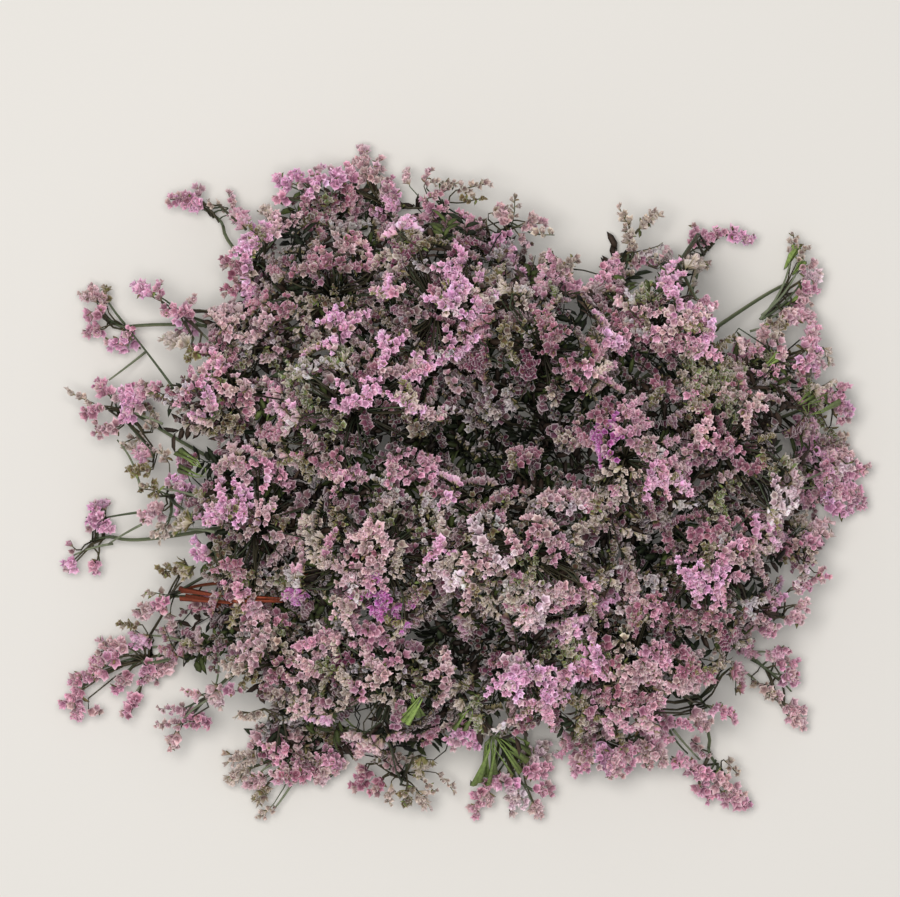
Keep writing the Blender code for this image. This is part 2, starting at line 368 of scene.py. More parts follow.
def twig_frame(combs):
    """Where a comb's twig runs, as a function of the share t, and its heading, side and facing directions.

    At share t of its length L, a twig is at base + L (t heading + sweep t^2 side + (lift t - curl t^2) face).
    """
    base, heading, length = combs["base"], unit(combs["heading"]), combs["length"]
    side = sideways(heading, combs["face"])
    face = np.cross(side, heading)

    def twig(t):
        bend = combs["sweep"][:, None] * t ** 2
        climb = combs["lift"][:, None] * t - combs["curl"][:, None] * t ** 2
        return base[:, None] + length[:, None, None] * (
            t[..., None] * heading[:, None] + bend[..., None] * side[:, None] + climb[..., None] * face[:, None])

    return twig, heading, side, face


def grow_twigs(heap, combs, twig, side, heading, rng):
    """The stalk from the fork to a comb's base, and the twig that it becomes, as one thinning tube."""
    base, start = combs["base"], combs["fork"]
    twigs = twig(np.broadcast_to(np.linspace(0, 1, TWIG_STEPS), (len(base), TWIG_STEPS)))
    reach = np.linalg.norm(base - start, axis=1, keepdims=True)
    stalks = bezier(start, start + unit(combs["fork_way"]) * reach * 0.35,
                    base - unit(heading + 0.3 * UP) * reach * 0.3, base, STALK_STEPS)
    paths = np.concatenate([stalks[:, :-1], twigs], axis=1)
    thin = np.linspace(1, 0, paths.shape[1])
    skins = tubes(paths, combs["size"][:, None] * (0.30 + 0.30 * thin), TWIG_COLUMNS, side)
    path_along = np.concatenate([[0.0], np.repeat(np.linspace(0, 1, paths.shape[1]), TWIG_COLUMNS), [1.0]])
    tint = combs["stalk"] * rng.normal(1, 0.1, (len(base), 1)) * combs["shade"][:, None]
    # painted shade: a stalk is darkest at its fork and brightens to its full colour towards the florets
    painted_light = combs["painted_fork_light"][:, None] + (1 - combs["painted_fork_light"][:, None]) * path_along
    heap.add(skins, paths.shape[1], TWIG_COLUMNS, STALK, (tint[:, None] * painted_light[..., None]).clip(0.005, 0.9),
             path_along, np.zeros(1))


def grow_leafy_twigs(heap, combs, rng):
    """Twigs of the lowest layer, with two rows of narrow leaves and no florets. The leaves' dark colours are partly
    their own and partly painted shade for the gaps, and they take the comb's painted shade.
    """
    twig, heading, side, face = twig_frame(combs)
    count = len(heading)
    t = np.broadcast_to((np.arange(LEAVES_ON_TWIG) + 0.5) / LEAVES_ON_TWIG, (count, LEAVES_ON_TWIG))
    places = twig(t).reshape(-1, 3)
    row = np.tile(np.where(np.arange(LEAVES_ON_TWIG) % 2 == 0, 1.0, -1.0), count)[:, None]
    owner = np.repeat(np.arange(count), LEAVES_ON_TWIG)
    total = len(owner)
    way = unit(heading[owner] * 0.6 + side[owner] * row * rng.uniform(0.5, 1.1, (total, 1))
               + rng.normal(0, 0.2, (total, 3)))
    upward = unit(face[owner] + rng.normal(0, 0.25, (total, 3)))
    leaves = scale_leaves(places, way, upward, rng.uniform(7, 12, total), rng.uniform(2.6, 4.2, total))
    kinds = np.array([LEAF_DARK, LEAF_DARK, LEAF_DEEP, LEAF_GREEN])
    # dark leaf colours times the comb's shade, which holds painted shade
    tint = kinds[rng.integers(0, len(kinds), count)][owner] * combs["shade"][owner][:, None]
    tint = tint * rng.normal(1, 0.25, (total, 1)).clip(0.4, 1.7)
    heap.add(leaves, len(LEAF_RINGS), LEAF_COLUMNS, LEAF, tint, LEAF_ALONG * 0.6, np.zeros(1))
    grow_twigs(heap, combs, twig, side, heading, rng)


def grow_combs(heap, combs, funnel, columns, rng):
    """Adds florets, scale leaves and twigs for a table of combs."""
    twig, heading, side, face = twig_frame(combs)
    base, length = combs["base"], combs["length"]

    # florets
    counts = np.clip(np.round(length / (combs["step"] * combs["size"])), 2, MOST_FLORETS).astype(int)
    number = np.arange(MOST_FLORETS)
    there = number < counts[:, None]
    t = np.where(there, (number + 0.6) / (counts[:, None] + 0.2), 0.5)
    places = twig(t)
    row = (number + rng.integers(0, 3, len(base))[:, None]) % 3 - 1.0
    lean = row * combs["spread"][:, None] + rng.normal(0, 0.28, row.shape)
    forward = combs["forward"][:, None] + 0.5 * t ** 3 + rng.normal(0, 0.28, row.shape)
    directions = unit(face[:, None] + lean[..., None] * side[:, None] + forward[..., None] * heading[:, None])
    owner = np.broadcast_to(np.arange(len(base))[:, None], there.shape)[there]
    origins, directions, shares = places[there], directions[there], t[there]
    total = len(origins)
    size = combs["size"][owner] * (1.06 - 0.28 * shares ** 2) * rng.normal(1, 0.12, total).clip(0.7, 1.3)
    open_share = np.clip(combs["open"][owner] + rng.normal(0, 0.2, total) - 0.25 * shares ** 3, 0.05, 1.1)
    crumple = np.clip(combs["crumple"][owner] + rng.normal(0, 0.2, total), 0.2, 1.3)
    skins = florets(origins, directions, size, open_share, crumple, funnel, columns, rng)
    tint = combs["tint"][owner] * rng.normal(1, 0.13, (total, 1)).clip(0.5, 1.4)
    tint = tint * rng.normal(1, 0.035, (total, 3))
    faded = rng.random(total) < combs["faded"][owner]
    # faded florets take their comb's shade too, with its painted shade
    pale = PETALS["cream"] * combs["shade"][owner][faded, None] * rng.normal(0.85, 0.15, (faded.sum(), 1))
    tint[faded] = 0.35 * tint[faded] + 0.65 * pale
    tint = tint[:, None] * rng.normal(1, FLECK, (total, skins.shape[1], 1)).clip(0.5, 1.5)
    along, fold = floret_values(funnel, columns)
    heap.add(skins, len(funnel), columns, FLORET, tint.clip(0.01, 0.95), along, fold)

    # scale leaves, under some of the florets
    leafy = rng.random(total) < combs["leafy"][owner]
    owner, origins, directions, size = owner[leafy], origins[leafy], directions[leafy], size[leafy]
    total = len(owner)
    leaf_side = side[owner] * np.sign(lean[there][leafy])[:, None]
    leaf_way = unit(directions * 0.5 + leaf_side * 0.55 + rng.normal(0, 0.25, (total, 3)))
    leaves = scale_leaves(origins - directions * 0.3, leaf_way, directions, size * rng.uniform(3.4, 5.4, total), size * 2)
    dry = rng.random((total, 1))
    leaf_tint = (combs["leaf"][owner] * (1 - dry) + LEAF_TAN * dry) * rng.normal(1, 0.15, (total, 1))
    # scale leaves take their comb's shade, with its painted shade
    leaf_tint = leaf_tint * combs["shade"][owner][:, None]
    heap.add(leaves, len(LEAF_RINGS), LEAF_COLUMNS, LEAF, leaf_tint.clip(0.01, 0.9), LEAF_ALONG, np.zeros(1))

    grow_twigs(heap, combs, twig, side, heading, rng)
    return counts.sum()


# %% [markdown]
# ## Sprays
#
# At the rim every spray can be told apart, so each is placed one by one: where it starts, where it ends,
# half its width, and its colour. A narrow one is a single comb and a wide one a fan of them. Inside the bunch
# the heads run into each other, so there the combs spread over each head's dome by the sunflower rule, and
# their colour comes from the nearest named patch. Hollows are the places that stay open.

# %% Sprays placed one by one
# (start x, start y, end x, end y, half width, colour), for each flower head
SPRAYS = {
    "outer_bloom_01": [(-48, 152, -51, 170, 4, "shell"), (-56, 150, -58, 161, 4, "pink"),
                       (-44, 150, -42, 164, 3, "shell"), (-40, 140, -36, 154, 4, "pink")],
    "outer_bloom_02": [(-84, 148, -95, 153, 5, "bright"), (-78, 148, -86, 156, 4, "bright"),
                       (-72, 148, -74, 158, 5, "bright"), (-64, 147, -66, 158, 5, "bright"),
                       (-88, 142, -94, 144, 4, "pink")],
    "outer_bloom_03": [(-27, 148, -29, 159, 2, "shell"), (-20, 148, -17, 158, 2.5, "shell"),
                       (-18, 150, -3, 150, 3, "cream"), (-4, 146, 14, 149, 3, "cream"), (-12, 146, 0, 150, 3, "cream"),
                       (-12, 130, 2, 133, 5, "shell"), (-34, 142, -36, 150, 4, "bright"),
                       (-18, 142, -6, 145, 3, "shell"), (0, 140, 12, 143, 3, "olive")],
    "outer_bloom_04": [(44, 102, 55, 113, 4, "cream"), (46, 98, 57, 96, 5, "pink"),
                       (36, 108, 42, 116, 2.5, "cream")],
    "outer_bloom_05": [(20, 128, 17, 139, 4, "shell"), (24, 130, 27, 143, 3, "cream"),
                       (28, 128, 36, 132, 4, "shell"), (34, 124, 45, 121, 3, "cream"),
                       (12, 134, 24, 137, 3, "cream"), (30, 130, 41, 127, 3, "shell"),
                       (14, 120, 24, 120, 6, "bright"), (26, 125, 30, 117, 3, "shell")],
    "outer_bloom_06": [(84, 114, 80, 130, 3.5, "cream"), (82, 128, 74, 138, 3, "cream"),
                       (86, 126, 97, 136, 3.5, "cream"), (76, 102, 67, 108, 5, "pink"),
                       (78, 104, 74, 114, 4, "shell"), (96, 108, 101, 121, 3, "shell"),
                       (98, 108, 92, 116, 2.5, "cream")],
    "outer_bloom_07": [(164, 114, 168, 126, 3, "cream"), (166, 110, 172, 120, 3, "cream"),
                       (168, 107, 176, 113, 3, "shell"), (169, 102, 179, 105, 3.5, "pale"),
                       (168, 97, 178, 99, 3.5, "pink"), (167, 92, 175, 93, 3.5, "shell"),
                       (165, 87, 172, 86, 4, "pink"), (160, 80, 170, 84, 4, "pink"),
                       (152, 80, 160, 76, 4, "olive"), (158, 86, 164, 80, 3.5, "shell")],
    "outer_bloom_08": [(114, 118, 114, 131, 3, "pink"), (118, 122, 132, 126, 4, "pink"),
                       (132, 125, 145, 121, 4, "bright"), (108, 111, 123, 112, 4, "cream"),
                       (106, 104, 121, 107, 4, "cream"), (112, 90, 121, 85, 4, "pink"),
                       (108, 80, 119, 78, 5, "rose")],
    "outer_bloom_09": [(150, 68, 147, 79, 4, "shell"), (136, 62, 137, 73, 5, "pink"),
                       (152, 70, 158, 77, 4, "cream"), (168, 66, 178, 79, 4, "pink"),
                       (166, 60, 179, 64, 6, "bright"), (178, 68, 184, 60, 2.5, "cream")],
    "outer_bloom_10": [(176, 22, 193, 24, 4, "cream"), (182, 12, 195, 14, 4, "shell"),
                       (186, 4, 203, 7, 4, "pink"), (184, -4, 199, -3, 5, "pink"),
                       (180, -10, 194, -13, 5, "bright"), (190, -6, 201, -9, 4, "pink"), (172, 16, 180, 18, 6, "bright")],
    "outer_bloom_11": [(172, 46, 185, 49, 3, "cream"), (184, 42, 190, 51, 3.5, "pink"),
                       (184, 38, 194, 38, 4.5, "bright"), (186, 33, 194, 32, 3, "pink")],
    "outer_bloom_12": [(170, -22, 183, -24, 4.5, "shell"), (166, -26, 178, -31, 4, "pink"),
                       (170, -34, 175, -40, 2.5, "cream"), (172, -46, 182, -47, 3, "pink"),
                       (178, -44, 180, -40, 2, "shell"), (152, -26, 160, -30, 6, "bright")],
    "outer_bloom_13": [(144, -98, 152, -103, 2.5, "cream"), (150, -102, 160, -109, 3, "shell"),
                       (154, -84, 165, -80, 3.5, "pink"), (156, -90, 168, -90, 4.5, "pink"),
                       (158, -96, 168, -98, 5, "pink"), (150, -104, 162, -108, 3, "cream"),
                       (160, -110, 171, -114, 4, "shell"), (162, -115, 171, -122, 4, "shell")],
    "outer_bloom_14": [(146, -56, 157, -56, 6, "pink"), (162, -52, 172, -52, 4, "pink"),
                       (163, -60, 172, -60, 3.5, "shell"), (158, -66, 169, -67, 3.5, "shell"),
                       (146, -70, 155, -74, 5, "pink")],
    "outer_bloom_15": [(108, -90, 122, -93, 5, "rose"), (102, -96, 111, -100, 3.5, "shell"),
                       (130, -90, 136, -98, 4.5, "rose"), (138, -80, 146, -84, 4.5, "pink"),
                       (122, -110, 135, -115, 4, "pink"), (100, -116, 122, -121, 3, "pink"),
                       (88, -104, 96, -106, 5, "pink"), (84, -112, 93, -117, 4, "pink"),
                       (112, -112, 122, -119, 3.5, "shell")],
    "outer_bloom_16": [(54, -124, 53, -139, 5, "pink"), (62, -128, 61, -143, 5, "pink"),
                       (70, -128, 71, -144, 5, "bright"), (79, -128, 81, -144, 5, "pink"),
                       (88, -126, 91, -143, 5, "shell"), (94, -122, 100, -126, 4, "pink"),
                       (94, -130, 100, -140, 5, "shell"), (86, -122, 102, -129, 4, "pink"),
                       (58, -134, 57, -146, 4, "pink"), (74, -134, 76, -147, 4, "shell")],
    "outer_bloom_17": [(103, -136, 116, -143, 4.5, "pink"), (112, -140, 126, -148, 5.5, "pink"),
                       (124, -146, 141, -156, 6.5, "shell"), (128, -154, 144, -163, 4.5, "pink"),
                       (118, -150, 125, -159, 3.5, "pink"), (114, -128, 121, -139, 3, "shell"),
                       (130, -138, 139, -146, 3, "cream")],
    "outer_bloom_18": [(28, -140, 44, -132, 5, "pale"), (30, -144, 44, -142, 5, "pink"),
                       (34, -153, 45, -153, 4, "pink"), (34, -158, 39, -166, 3.5, "shell"),
                       (24, -150, 29, -164, 5, "pale"), (18, -148, 28, -152, 4, "bright"),
                       (20, -147, 10, -150, 4, "pink"), (10, -152, 3, -166, 4, "pink"),
                       (12, -152, 13, -161, 4, "shell")],
    "outer_bloom_19": [(-48, -140, -53, -154, 4.5, "rose"), (-36, -148, -38, -161, 3, "cream"),
                       (-28, -150, -29, -161, 3.5, "olive"), (-24, -152, -18, -162, 3.5, "cream"),
                       (-20, -148, -13, -155, 2.5, "cream"), (-14, -144, -2, -151, 2.5, "cream"),
                       (-22, -134, -17, -144, 4, "olive"), (-36, -134, -36, -144, 4, "shell"),
                       (-40, -122, -52, -132, 5, "pink"), (-40, -146, -44, -155, 3.5, "rose")],
    "outer_bloom_20": [(2, -120, -9, -128, 5, "bright"), (5, -120, 3, -131, 5, "bright"),
                       (0, -112, -11, -120, 4, "cream"), (8, -114, 12, -125, 4, "cream")],
    "outer_bloom_21": [(-98, -110, -112, -115, 3.5, "cream"), (-98, -124, -108, -130, 4.5, "shell"),
                       (-102, -136, -119, -140, 3.5, "cream"), (-106, -142, -119, -149, 3.5, "cream"),
                       (-98, -146, -110, -152, 4, "shell"), (-98, -150, -104, -159, 3.5, "olive"),
                       (-95, -160, -103, -170, 2.5, "cream"), (-88, -140, -90, -150, 5, "pink"),
                       (-80, -138, -82, -150, 5, "pink"), (-70, -138, -72, -151, 4, "shell"),
                       (-62, -136, -66, -146, 4, "shell")],
    "outer_bloom_22": [(-152, -62, -165, -65, 4, "shell"), (-158, -90, -163, -101, 3.5, "pink"),
                       (-160, -70, -173, -67, 3, "olive"), (-156, -76, -168, -78, 5, "bright"),
                       (-168, -82, -184, -80, 4, "shell"), (-172, -86, -188, -88, 4.5, "pink"),
                       (-178, -92, -190, -96, 5, "pink"), (-190, -96, -197, -100, 4.5, "pink"),
                       (-190, -102, -202, -111, 4, "pink"), (-194, -108, -193, -118, 4.5, "pink"),
                       (-188, -113, -180, -113, 3, "shell"), (-168, -94, -175, -104, 4, "pink"),
                       (-163, -106, -170, -117, 4, "pink"), (-148, -88, -158, -98, 3.5, "shell")],
    "outer_bloom_23": [(-128, -104, -139, -99, 3, "shell"), (-138, -112, -154, -113, 2.5, "shell"),
                       (-140, -119, -155, -120, 2.5, "shell"), (-126, -118, -141, -117, 5, "pink"),
                       (-142, -122, -147, -131, 4.5, "shell"), (-120, -98, -126, -108, 4, "shell"),
                       (-118, -100, -108, -102, 3, "pink")],
    "outer_bloom_24": [(-148, -55, -160, -52, 3, "cream"), (-147, -57, -154, -62, 5, "pink"),
                       (-142, -42, -153, -44, 4.5, "olive"), (-126, -56, -136, -62, 4, "rose"),
                       (-122, -34, -134, -32, 6, "bright"), (-132, -40, -141, -42, 4, "olive")],
    "outer_bloom_25": [(-180, -16, -188, -12, 4.5, "bright"), (-180, -18, -190, -21, 4.5, "bright"),
                       (-180, -14, -180, -8, 4, "bright"), (-180, -18, -178, -25, 4, "bright"),
                       (-194, -33, -198, -30, 3, "pink"), (-194, -38, -200, -43, 4.5, "bright"),
                       (-183, -38, -187, -44, 4, "pink")],
    "outer_bloom_26": [(-136, -4, -147, 4, 5, "bright"), (-150, -4, -160, 1, 3.5, "olive"),
                       (-148, -12, -161, -16, 5, "shell"), (-146, -18, -153, -28, 3.5, "cream"),
                       (-132, -18, -141, -22, 4, "olive"), (-146, 10, -150, 20, 3, "cream"), (-112, -10, -122, -16, 5, "bright")],
    "outer_bloom_27": [(-160, 42, -168, 42, 7, "bright"), (-166, 50, -170, 36, 5, "bright"),
                       (-184, 40, -199, 46, 3, "cream"), (-180, 38, -191, 36, 5, "pink"),
                       (-176, 44, -184, 51, 4, "pink"), (-164, 40, -174, 47, 6, "bright"),
                       (-164, 38, -172, 32, 5, "bright"), (-160, 46, -149, 46, 3.5, "pink"),
                       (-160, 24, -171, 20, 4, "cream"), (-154, 8, -166, 4, 4, "olive"),
                       (-172, 28, -186, 28, 4, "shell"), (-156, 26, -154, 36, 4, "cream"),
                       (-154, 12, -165, 16, 5.5, "pink")],
    "outer_bloom_28": [(-134, 142, -149, 143, 4.5, "pink"), (-130, 140, -142, 140, 4, "bright"),
                       (-133, 143, -133, 150, 3, "shell"), (-118, 138, -130, 141, 3, "cream"),
                       (-115, 137, -118, 148, 2.5, "shell"), (-108, 126, -114, 138, 3.5, "pink")],
    "outer_bloom_29": [(-100, 116, -110, 122, 6, "bright"), (-100, 120, -104, 129, 6, "bright"),
                       (-94, 122, -94, 130, 5, "pink"), (-104, 106, -121, 111, 4, "rose"),
                       (-106, 100, -120, 97, 5, "rose"), (-96, 130, -102, 138, 3.5, "cream")],
    "outer_bloom_30": [(-182, 88, -186, 100, 4.5, "shell"), (-184, 92, -194, 94, 3, "shell"),
                       (-180, 84, -189, 86, 4, "pink"), (-180, 78, -190, 75, 4, "pink"),
                       (-179, 90, -179, 99, 3, "olive"), (-165, 74, -178, 68, 5, "bright"),
                       (-168, 74, -162, 77, 3, "pink")],
    "outer_bloom_31": [(-153, 93, -166, 98, 5, "bright"), (-150, 90, -151, 102, 3, "pink"),
                       (-134, 84, -150, 87, 4.5, "pink"), (-136, 88, -133, 95, 2.5, "shell"),
                       (-134, 80, -144, 78, 5, "bright"), (-134, 68, -149, 69, 4, "cream"),
                       (-130, 66, -136, 60, 4, "olive"), (-108, 84, -126, 87, 4.5, "shell")],
}
# Thin stalks that show by themselves, (start x, start y, end x, end y), for each flower head
BARE_STALKS = {
    "outer_bloom_07": [(147, 82, 164, 115), (148, 84, 168, 109), (148, 82, 169, 101), (150, 81, 167, 91),
                       (142, 76, 160, 78)],
    "outer_bloom_10": [(160, 2, 184, 10), (160, -2, 182, -2)],
    "outer_bloom_13": [(138, -92, 152, -104), (152, -104, 166, -113), (142, -84, 156, -84), (144, -88, 164, -104)],
    "outer_bloom_17": [(100, -118, 112, -135), (104, -122, 118, -138)],
    "outer_bloom_18": [(14, -122, 27, -141), (14, -122, 6, -150), (15, -124, 14, -150), (16, -124, 36, -134)],
    "outer_bloom_21": [(-86, -150, -96, -164), (-92, -138, -104, -146)],
    "outer_bloom_22": [(-152, -84, -165, -105), (-150, -82, -176, -90), (-140, -78, -160, -76),
                       (-148, -84, -146, -90)],
    "outer_bloom_23": [(-121, -82, -122, -99), (-120, -100, -140, -112), (-122, -104, -142, -120)],
    "outer_bloom_25": [(-162, -14, -180, -17), (-160, -20, -178, -30), (-176, -30, -196, -36)],
    "outer_bloom_26": [(-124, -16, -146, -16), (-122, -23, -148, -25), (-130, -6, -150, -2)],
    "outer_bloom_27": [(-160, -4, -173, 22), (-150, 30, -166, 36)],
    "outer_bloom_30": [(-143, 48, -170, 80), (-170, 80, -181, 96), (-160, 66, -177, 52)],
    "outer_bloom_31": [(-122, 68, -134, 79), (-128, 78, -146, 90)],
}
# Where the stalks of a spray come together, if it isn't under the middle of its head: x, y
FORKS_AT = {"outer_bloom_07": (150, 84), "outer_bloom_18": (15, -124), "outer_bloom_22": (-156, -86)}
# Flat leafy wings and dried straps, (start x, start y, end x, end y, width)
WINGS_BY_HAND = {
    "outer_bloom_07": [(160, 107, 167, 121, 4), (164, 104, 171, 113, 3), (160, 89, 168, 94, 3)],
    "outer_bloom_11": [(163, 38, 176, 45, 6), (168, 34, 183, 40, 5), (148, 58, 158, 66, 5)],
    "outer_bloom_18": [(13, -124, 6, -150, 7), (14, -124, 14, -146, 8), (16, -124, 32, -136, 7),
                       (15, -124, 27, -143, 3)],
    "outer_bloom_20": [(-6, -110, 4, -119, 5), (4, -108, -2, -120, 5)],
    "outer_bloom_19": [(-26, -98, -20, -114, 6), (-20, -102, -30, -116, 5)],
    "outer_bloom_26": [(-128, 8, -140, 15, 5), (-126, 4, -138, 8, 4)],
    "outer_bloom_24": [(-87, -57, -116, -56, 4), (-104, -58, -143, -54, 4), (-96, -55, -124, -58, 3)],
}
RUSTY = ("outer_bloom_24",)
# Clumps inside the bunch that stand out by their colour: x, y
CLUMPS = {
    "bright": [(-92, 152), (-70, 156), (-33, 143), (-30, 125), (-104, 122), (-108, 102), (-62, 80), (-65, 68),
               (-38, 66), (-20, 62), (-8, 68), (-5, 108), (-8, 88), (-85, 32), (-128, 35), (-50, 42), (-28, 45),
               (-8, 2), (-142, 1), (-108, -8), (-118, -14), (-14, -30), (-65, -115), (18, 123), (22, 104), (33, 104),
               (3, 100), (5, 88), (95, 98), (107, 90), (118, 77), (70, 70), (92, 0), (105, 0), (178, 15), (50, -68),
               (65, -64), (110, -45), (118, -45), (145, -25), (185, -10), (155, -55), (62, -85), (50, -92),
               (35, -93), (45, -102), (25, -92), (70, -142), (-36, 98)],
    "pink": [(-16, 137), (-42, 107), (-38, 95), (-120, 58), (-135, 50), (-95, 45), (-15, 38), (-55, 5), (-35, 10),
             (-20, 12), (-98, 8), (-80, -42), (-45, -47), (-108, -57), (-73, -74), (-45, -76), (-90, -137),
             (-65, -142), (3, 130), (22, 136), (48, 104), (38, 98), (68, 105), (75, 108), (90, 78), (120, 85),
             (112, 68), (78, 66), (65, 57), (80, 38), (80, 30), (90, 15), (97, 8), (110, 15), (138, 62), (175, 60),
             (158, 48), (190, 42), (170, 25), (180, 2), (195, 5), (55, -52), (88, -60), (128, -50), (130, -30),
             (155, -24), (170, -8), (140, -85), (95, -82), (38, -110), (25, -118), (95, -98), (88, -115),
             (75, -115), (60, -128), (58, -138), (80, -138), (90, -135)],
    "rose": [(-117, 108), (-90, 105), (-72, 107), (-60, 142), (-72, 130), (-100, 90), (-90, 85), (-92, 25),
             (-65, 10), (-122, -56), (-92, -94), (-95, -125), (-78, -140), (-115, -42), (8, 80), (80, 78), (73, 92),
             (100, 66), (40, 76), (42, 68), (60, 50), (95, 50), (65, 35), (60, 24), (33, 15), (25, 10), (128, 18),
             (140, 8), (100, -20), (115, -25), (120, -65), (110, -88), (118, -92), (100, -85), (30, -120),
             (72, -100), (85, -102), (125, -22)],
    "magenta": [(-82, -52), (-42, -52), (-36, -58), (-31, -66), (68, 22)],
    "wine": [(-3, 119), (-30, 112), (8, 62), (30, 57), (-62, -92), (93, -13), (130, -76), (14, -86), (-68, 146)],
    "shell": [(-48, 160), (-95, 128), (-55, 118), (-115, 82), (-98, 76), (-110, 45), (-112, 10), (-97, -12),
              (-45, -22), (-45, -32), (-57, -42), (-100, -65), (-66, -78), (-102, -83), (-75, -85), (-40, -92),
              (-12, -90), (-75, -110), (-85, -147), (-80, -125), (-48, -128), (-60, -60), (50, 110), (55, 95),
              (103, 80), (85, 88), (138, 70), (158, 75), (140, 40), (190, 20), (160, 8), (5, -38), (32, -25),
              (45, -10), (60, -8), (45, -48), (30, -60), (80, -45), (160, -35), (178, -25), (150, -68),
              (105, -97), (85, -90), (72, -125), (98, -125), (113, 25)],
    "cream": [(-75, -18), (-72, -27), (-35, -32), (-5, -35), (-70, -35), (-110, -92), (-90, -82), (-55, -97),
              (-85, -105), (-33, -105), (-38, -140), (28, 90), (50, 25), (75, 3), (145, 55), (110, 45), (172, 50),
              (178, 45), (70, -5), (65, -18), (55, -25), (75, -22), (22, -55), (80, -75), (170, -22)],
    "pale": [(8, -28), (20, -35), (40, -52), (34, -60), (0, -48), (-14, -42), (58, -8), (22, -88), (150, -12),
             (160, -2), (188, 8), (172, -38), (85, -62), (-8, 90)],
    "grey": [(-75, 55), (-40, -5), (-25, -8), (-10, -10), (-25, -88), (-108, -70), (13, 38), (5, 32), (25, 40),
             (12, -18), (20, -45), (90, -45), (38, -15), (-60, 55)],
    "olive": [(-27, 117), (-112, 30), (-105, -45), (-100, -35), (-105, -92), (-68, -128), (-20, -140), (33, 125),
              (18, 100), (15, 110), (22, 72), (115, 38), (100, 35), (145, 20), (75, -88), (55, -108), (62, -112),
              (120, -35), (-82, 14), (-135, -78)],
    "green": [(-83, 55), (-100, 62), (-125, 47), (-130, 12), (-40, -19), (-18, -20), (-93, -47), (-74, 138),
              (150, 65), (172, 70), (120, 50), (130, 45), (168, 42), (168, 5), (125, -10), (8, -115), (45, -80),
              (30, -38), (30, -48), (90, 90), (48, 88), (-90, -70), (-70, -95), (132, 52), (140, 62), (112, 58),
             (126, 38), (60, -80), (12, -104), (-20, -106), (-78, 38), (-62, 30), (-160, -4), (185, 32),
             (104, 52), (-58, 62), (156, 8)],
}
# Where the bunch's outline is notched, and where it has hollows, which also get painted shade: x, y, radius
NOTCHES = [
    (-184, -105, 6), (10, 138, 4), (181, 54, 5), (60, 105, 3), (150, -92, 4), (88, -123, 5), (104, -105, 6),
    (122, -129, 7), (-46, -112, 5), (-132, -96, 8), (-116, 132, 7), (88, 104, 4), (159, 32, 4), (157, 18, 4),
    (-127, 20, 4), (-130, 2, 5), (-165, 64, 8), (48, -125, 4), (-113, -107, 5), (-150, -32, 8), (-162, 84, 8),
    (-156, 70, 6), (0, -142, 7), (121, 95, 7), (128, 88, 7), (122, -100, 7), (-133, -93, 6), (-127, 10, 4),
    (112, 100, 4), (138, -48, 4), (150, -39, 4), (163, -45, 4), (83, 60, 4), (-144, 35, 4), (-144, 54, 4),
    (-27, -129, 3), (20, -125, 3),
]
# The outline of the crowd without its longer sprays, and how much wider the crowd's combs are laid than it,
# to whole millimetres, because a comb's florets thin out towards its tip
CROWD_SPREAD = 1.015
CROWD_OUTLINE = np.round(CROWD_SPREAD * np.array([
    (-128, 84), (-112, 92), (-112, 112), (-100, 124), (-94, 140), (-70, 148), (-50, 150), (-30, 140),
    (0, 136), (18, 126), (40, 112), (54, 98), (70, 98), (80, 118), (94, 122), (104, 106), (112, 112),
    (112, 96), (114, 78), (130, 66), (150, 66), (170, 62), (176, 50), (184, 34), (186, 20), (190, 5),
    (184, -8), (174, -20), (170, -34), (168, -50), (160, -60), (150, -70), (138, -80), (120, -92),
    (104, -98), (96, -112), (88, -130), (60, -132), (46, -118), (26, -118), (8, -122), (-10, -118),
    (-20, -135), (-38, -142), (-55, -132), (-72, -142), (-90, -142), (-104, -134), (-100, -112),
    (-104, -98), (-125, -90), (-140, -84), (-160, -78), (-150, -66), (-132, -60), (-124, -46),
    (-124, -24), (-138, -8), (-142, 8), (-134, 22), (-148, 34), (-166, 36), (-168, 46), (-146, 46),
    (-130, 54), (-128, 70),
]))
HOLLOWS = [
    (-85, 118, 5), (-63, 100, 7), (-100, 56, 5), (-70, 38, 6), (-36, 24, 8), (-47, 14, 7), (-24, 21, 6),
    (-8, 18, 10), (10, 18, 12), (22, 28, 9), (16, 4, 8), (45, 9, 11), (-100, -32, 7), (-68, -49, 7),
    (-125, -67, 5), (-30, -42, 4), (-20, -71, 8), (-8, -73, 7), (-55, -112, 7), (-22, -108, 7), (-50, -5, 5),
    (-76, -6, 6), (-3, -58, 5), (-35, -128, 5), (10, 112, 5), (35, 113, 6), (50, 82, 6), (85, 68, 4),
    (82, 52, 5), (98, 55, 7), (75, 48, 5), (93, 29, 8), (50, 40, 4), (40, 60, 4), (20, 52, 6), (5, 50, 4),
    (155, 32, 6), (155, 20, 7), (148, 2, 4), (118, 5, 4), (48, -19, 6), (66, -29, 6), (87, -29, 8), (92, -39, 5),
    (105, -56, 5), (72, -70, 5), (35, -72, 5), (16, -75, 8), (4, -82, 7), (138, -47, 6), (150, -42, 6),
    (60, -98, 4), (104, -70, 5), (90, -70, 4), (-60, 122, 3), (-112, -66, 3), (40, 32, 9), (58, 38, 6),
    (30, 46, 6), (-67, -8, 5), (0, -90, 4), (13, -103, 4), (45, -128, 3), (-37, -130, 4), (14, 26, 9), (0, 10, 7),
    (34, 22, 7), (-2, 28, 8), (28, 5, 6), (60, 5, 5), (-15, 55, 4), (14, 60, 5), (-60, 20, 5), (30, -76, 6),
]


# DIM: how much painted shade darkens the middle of a hollow
DIM = 0.85
CLUMP_REACH = 9.0
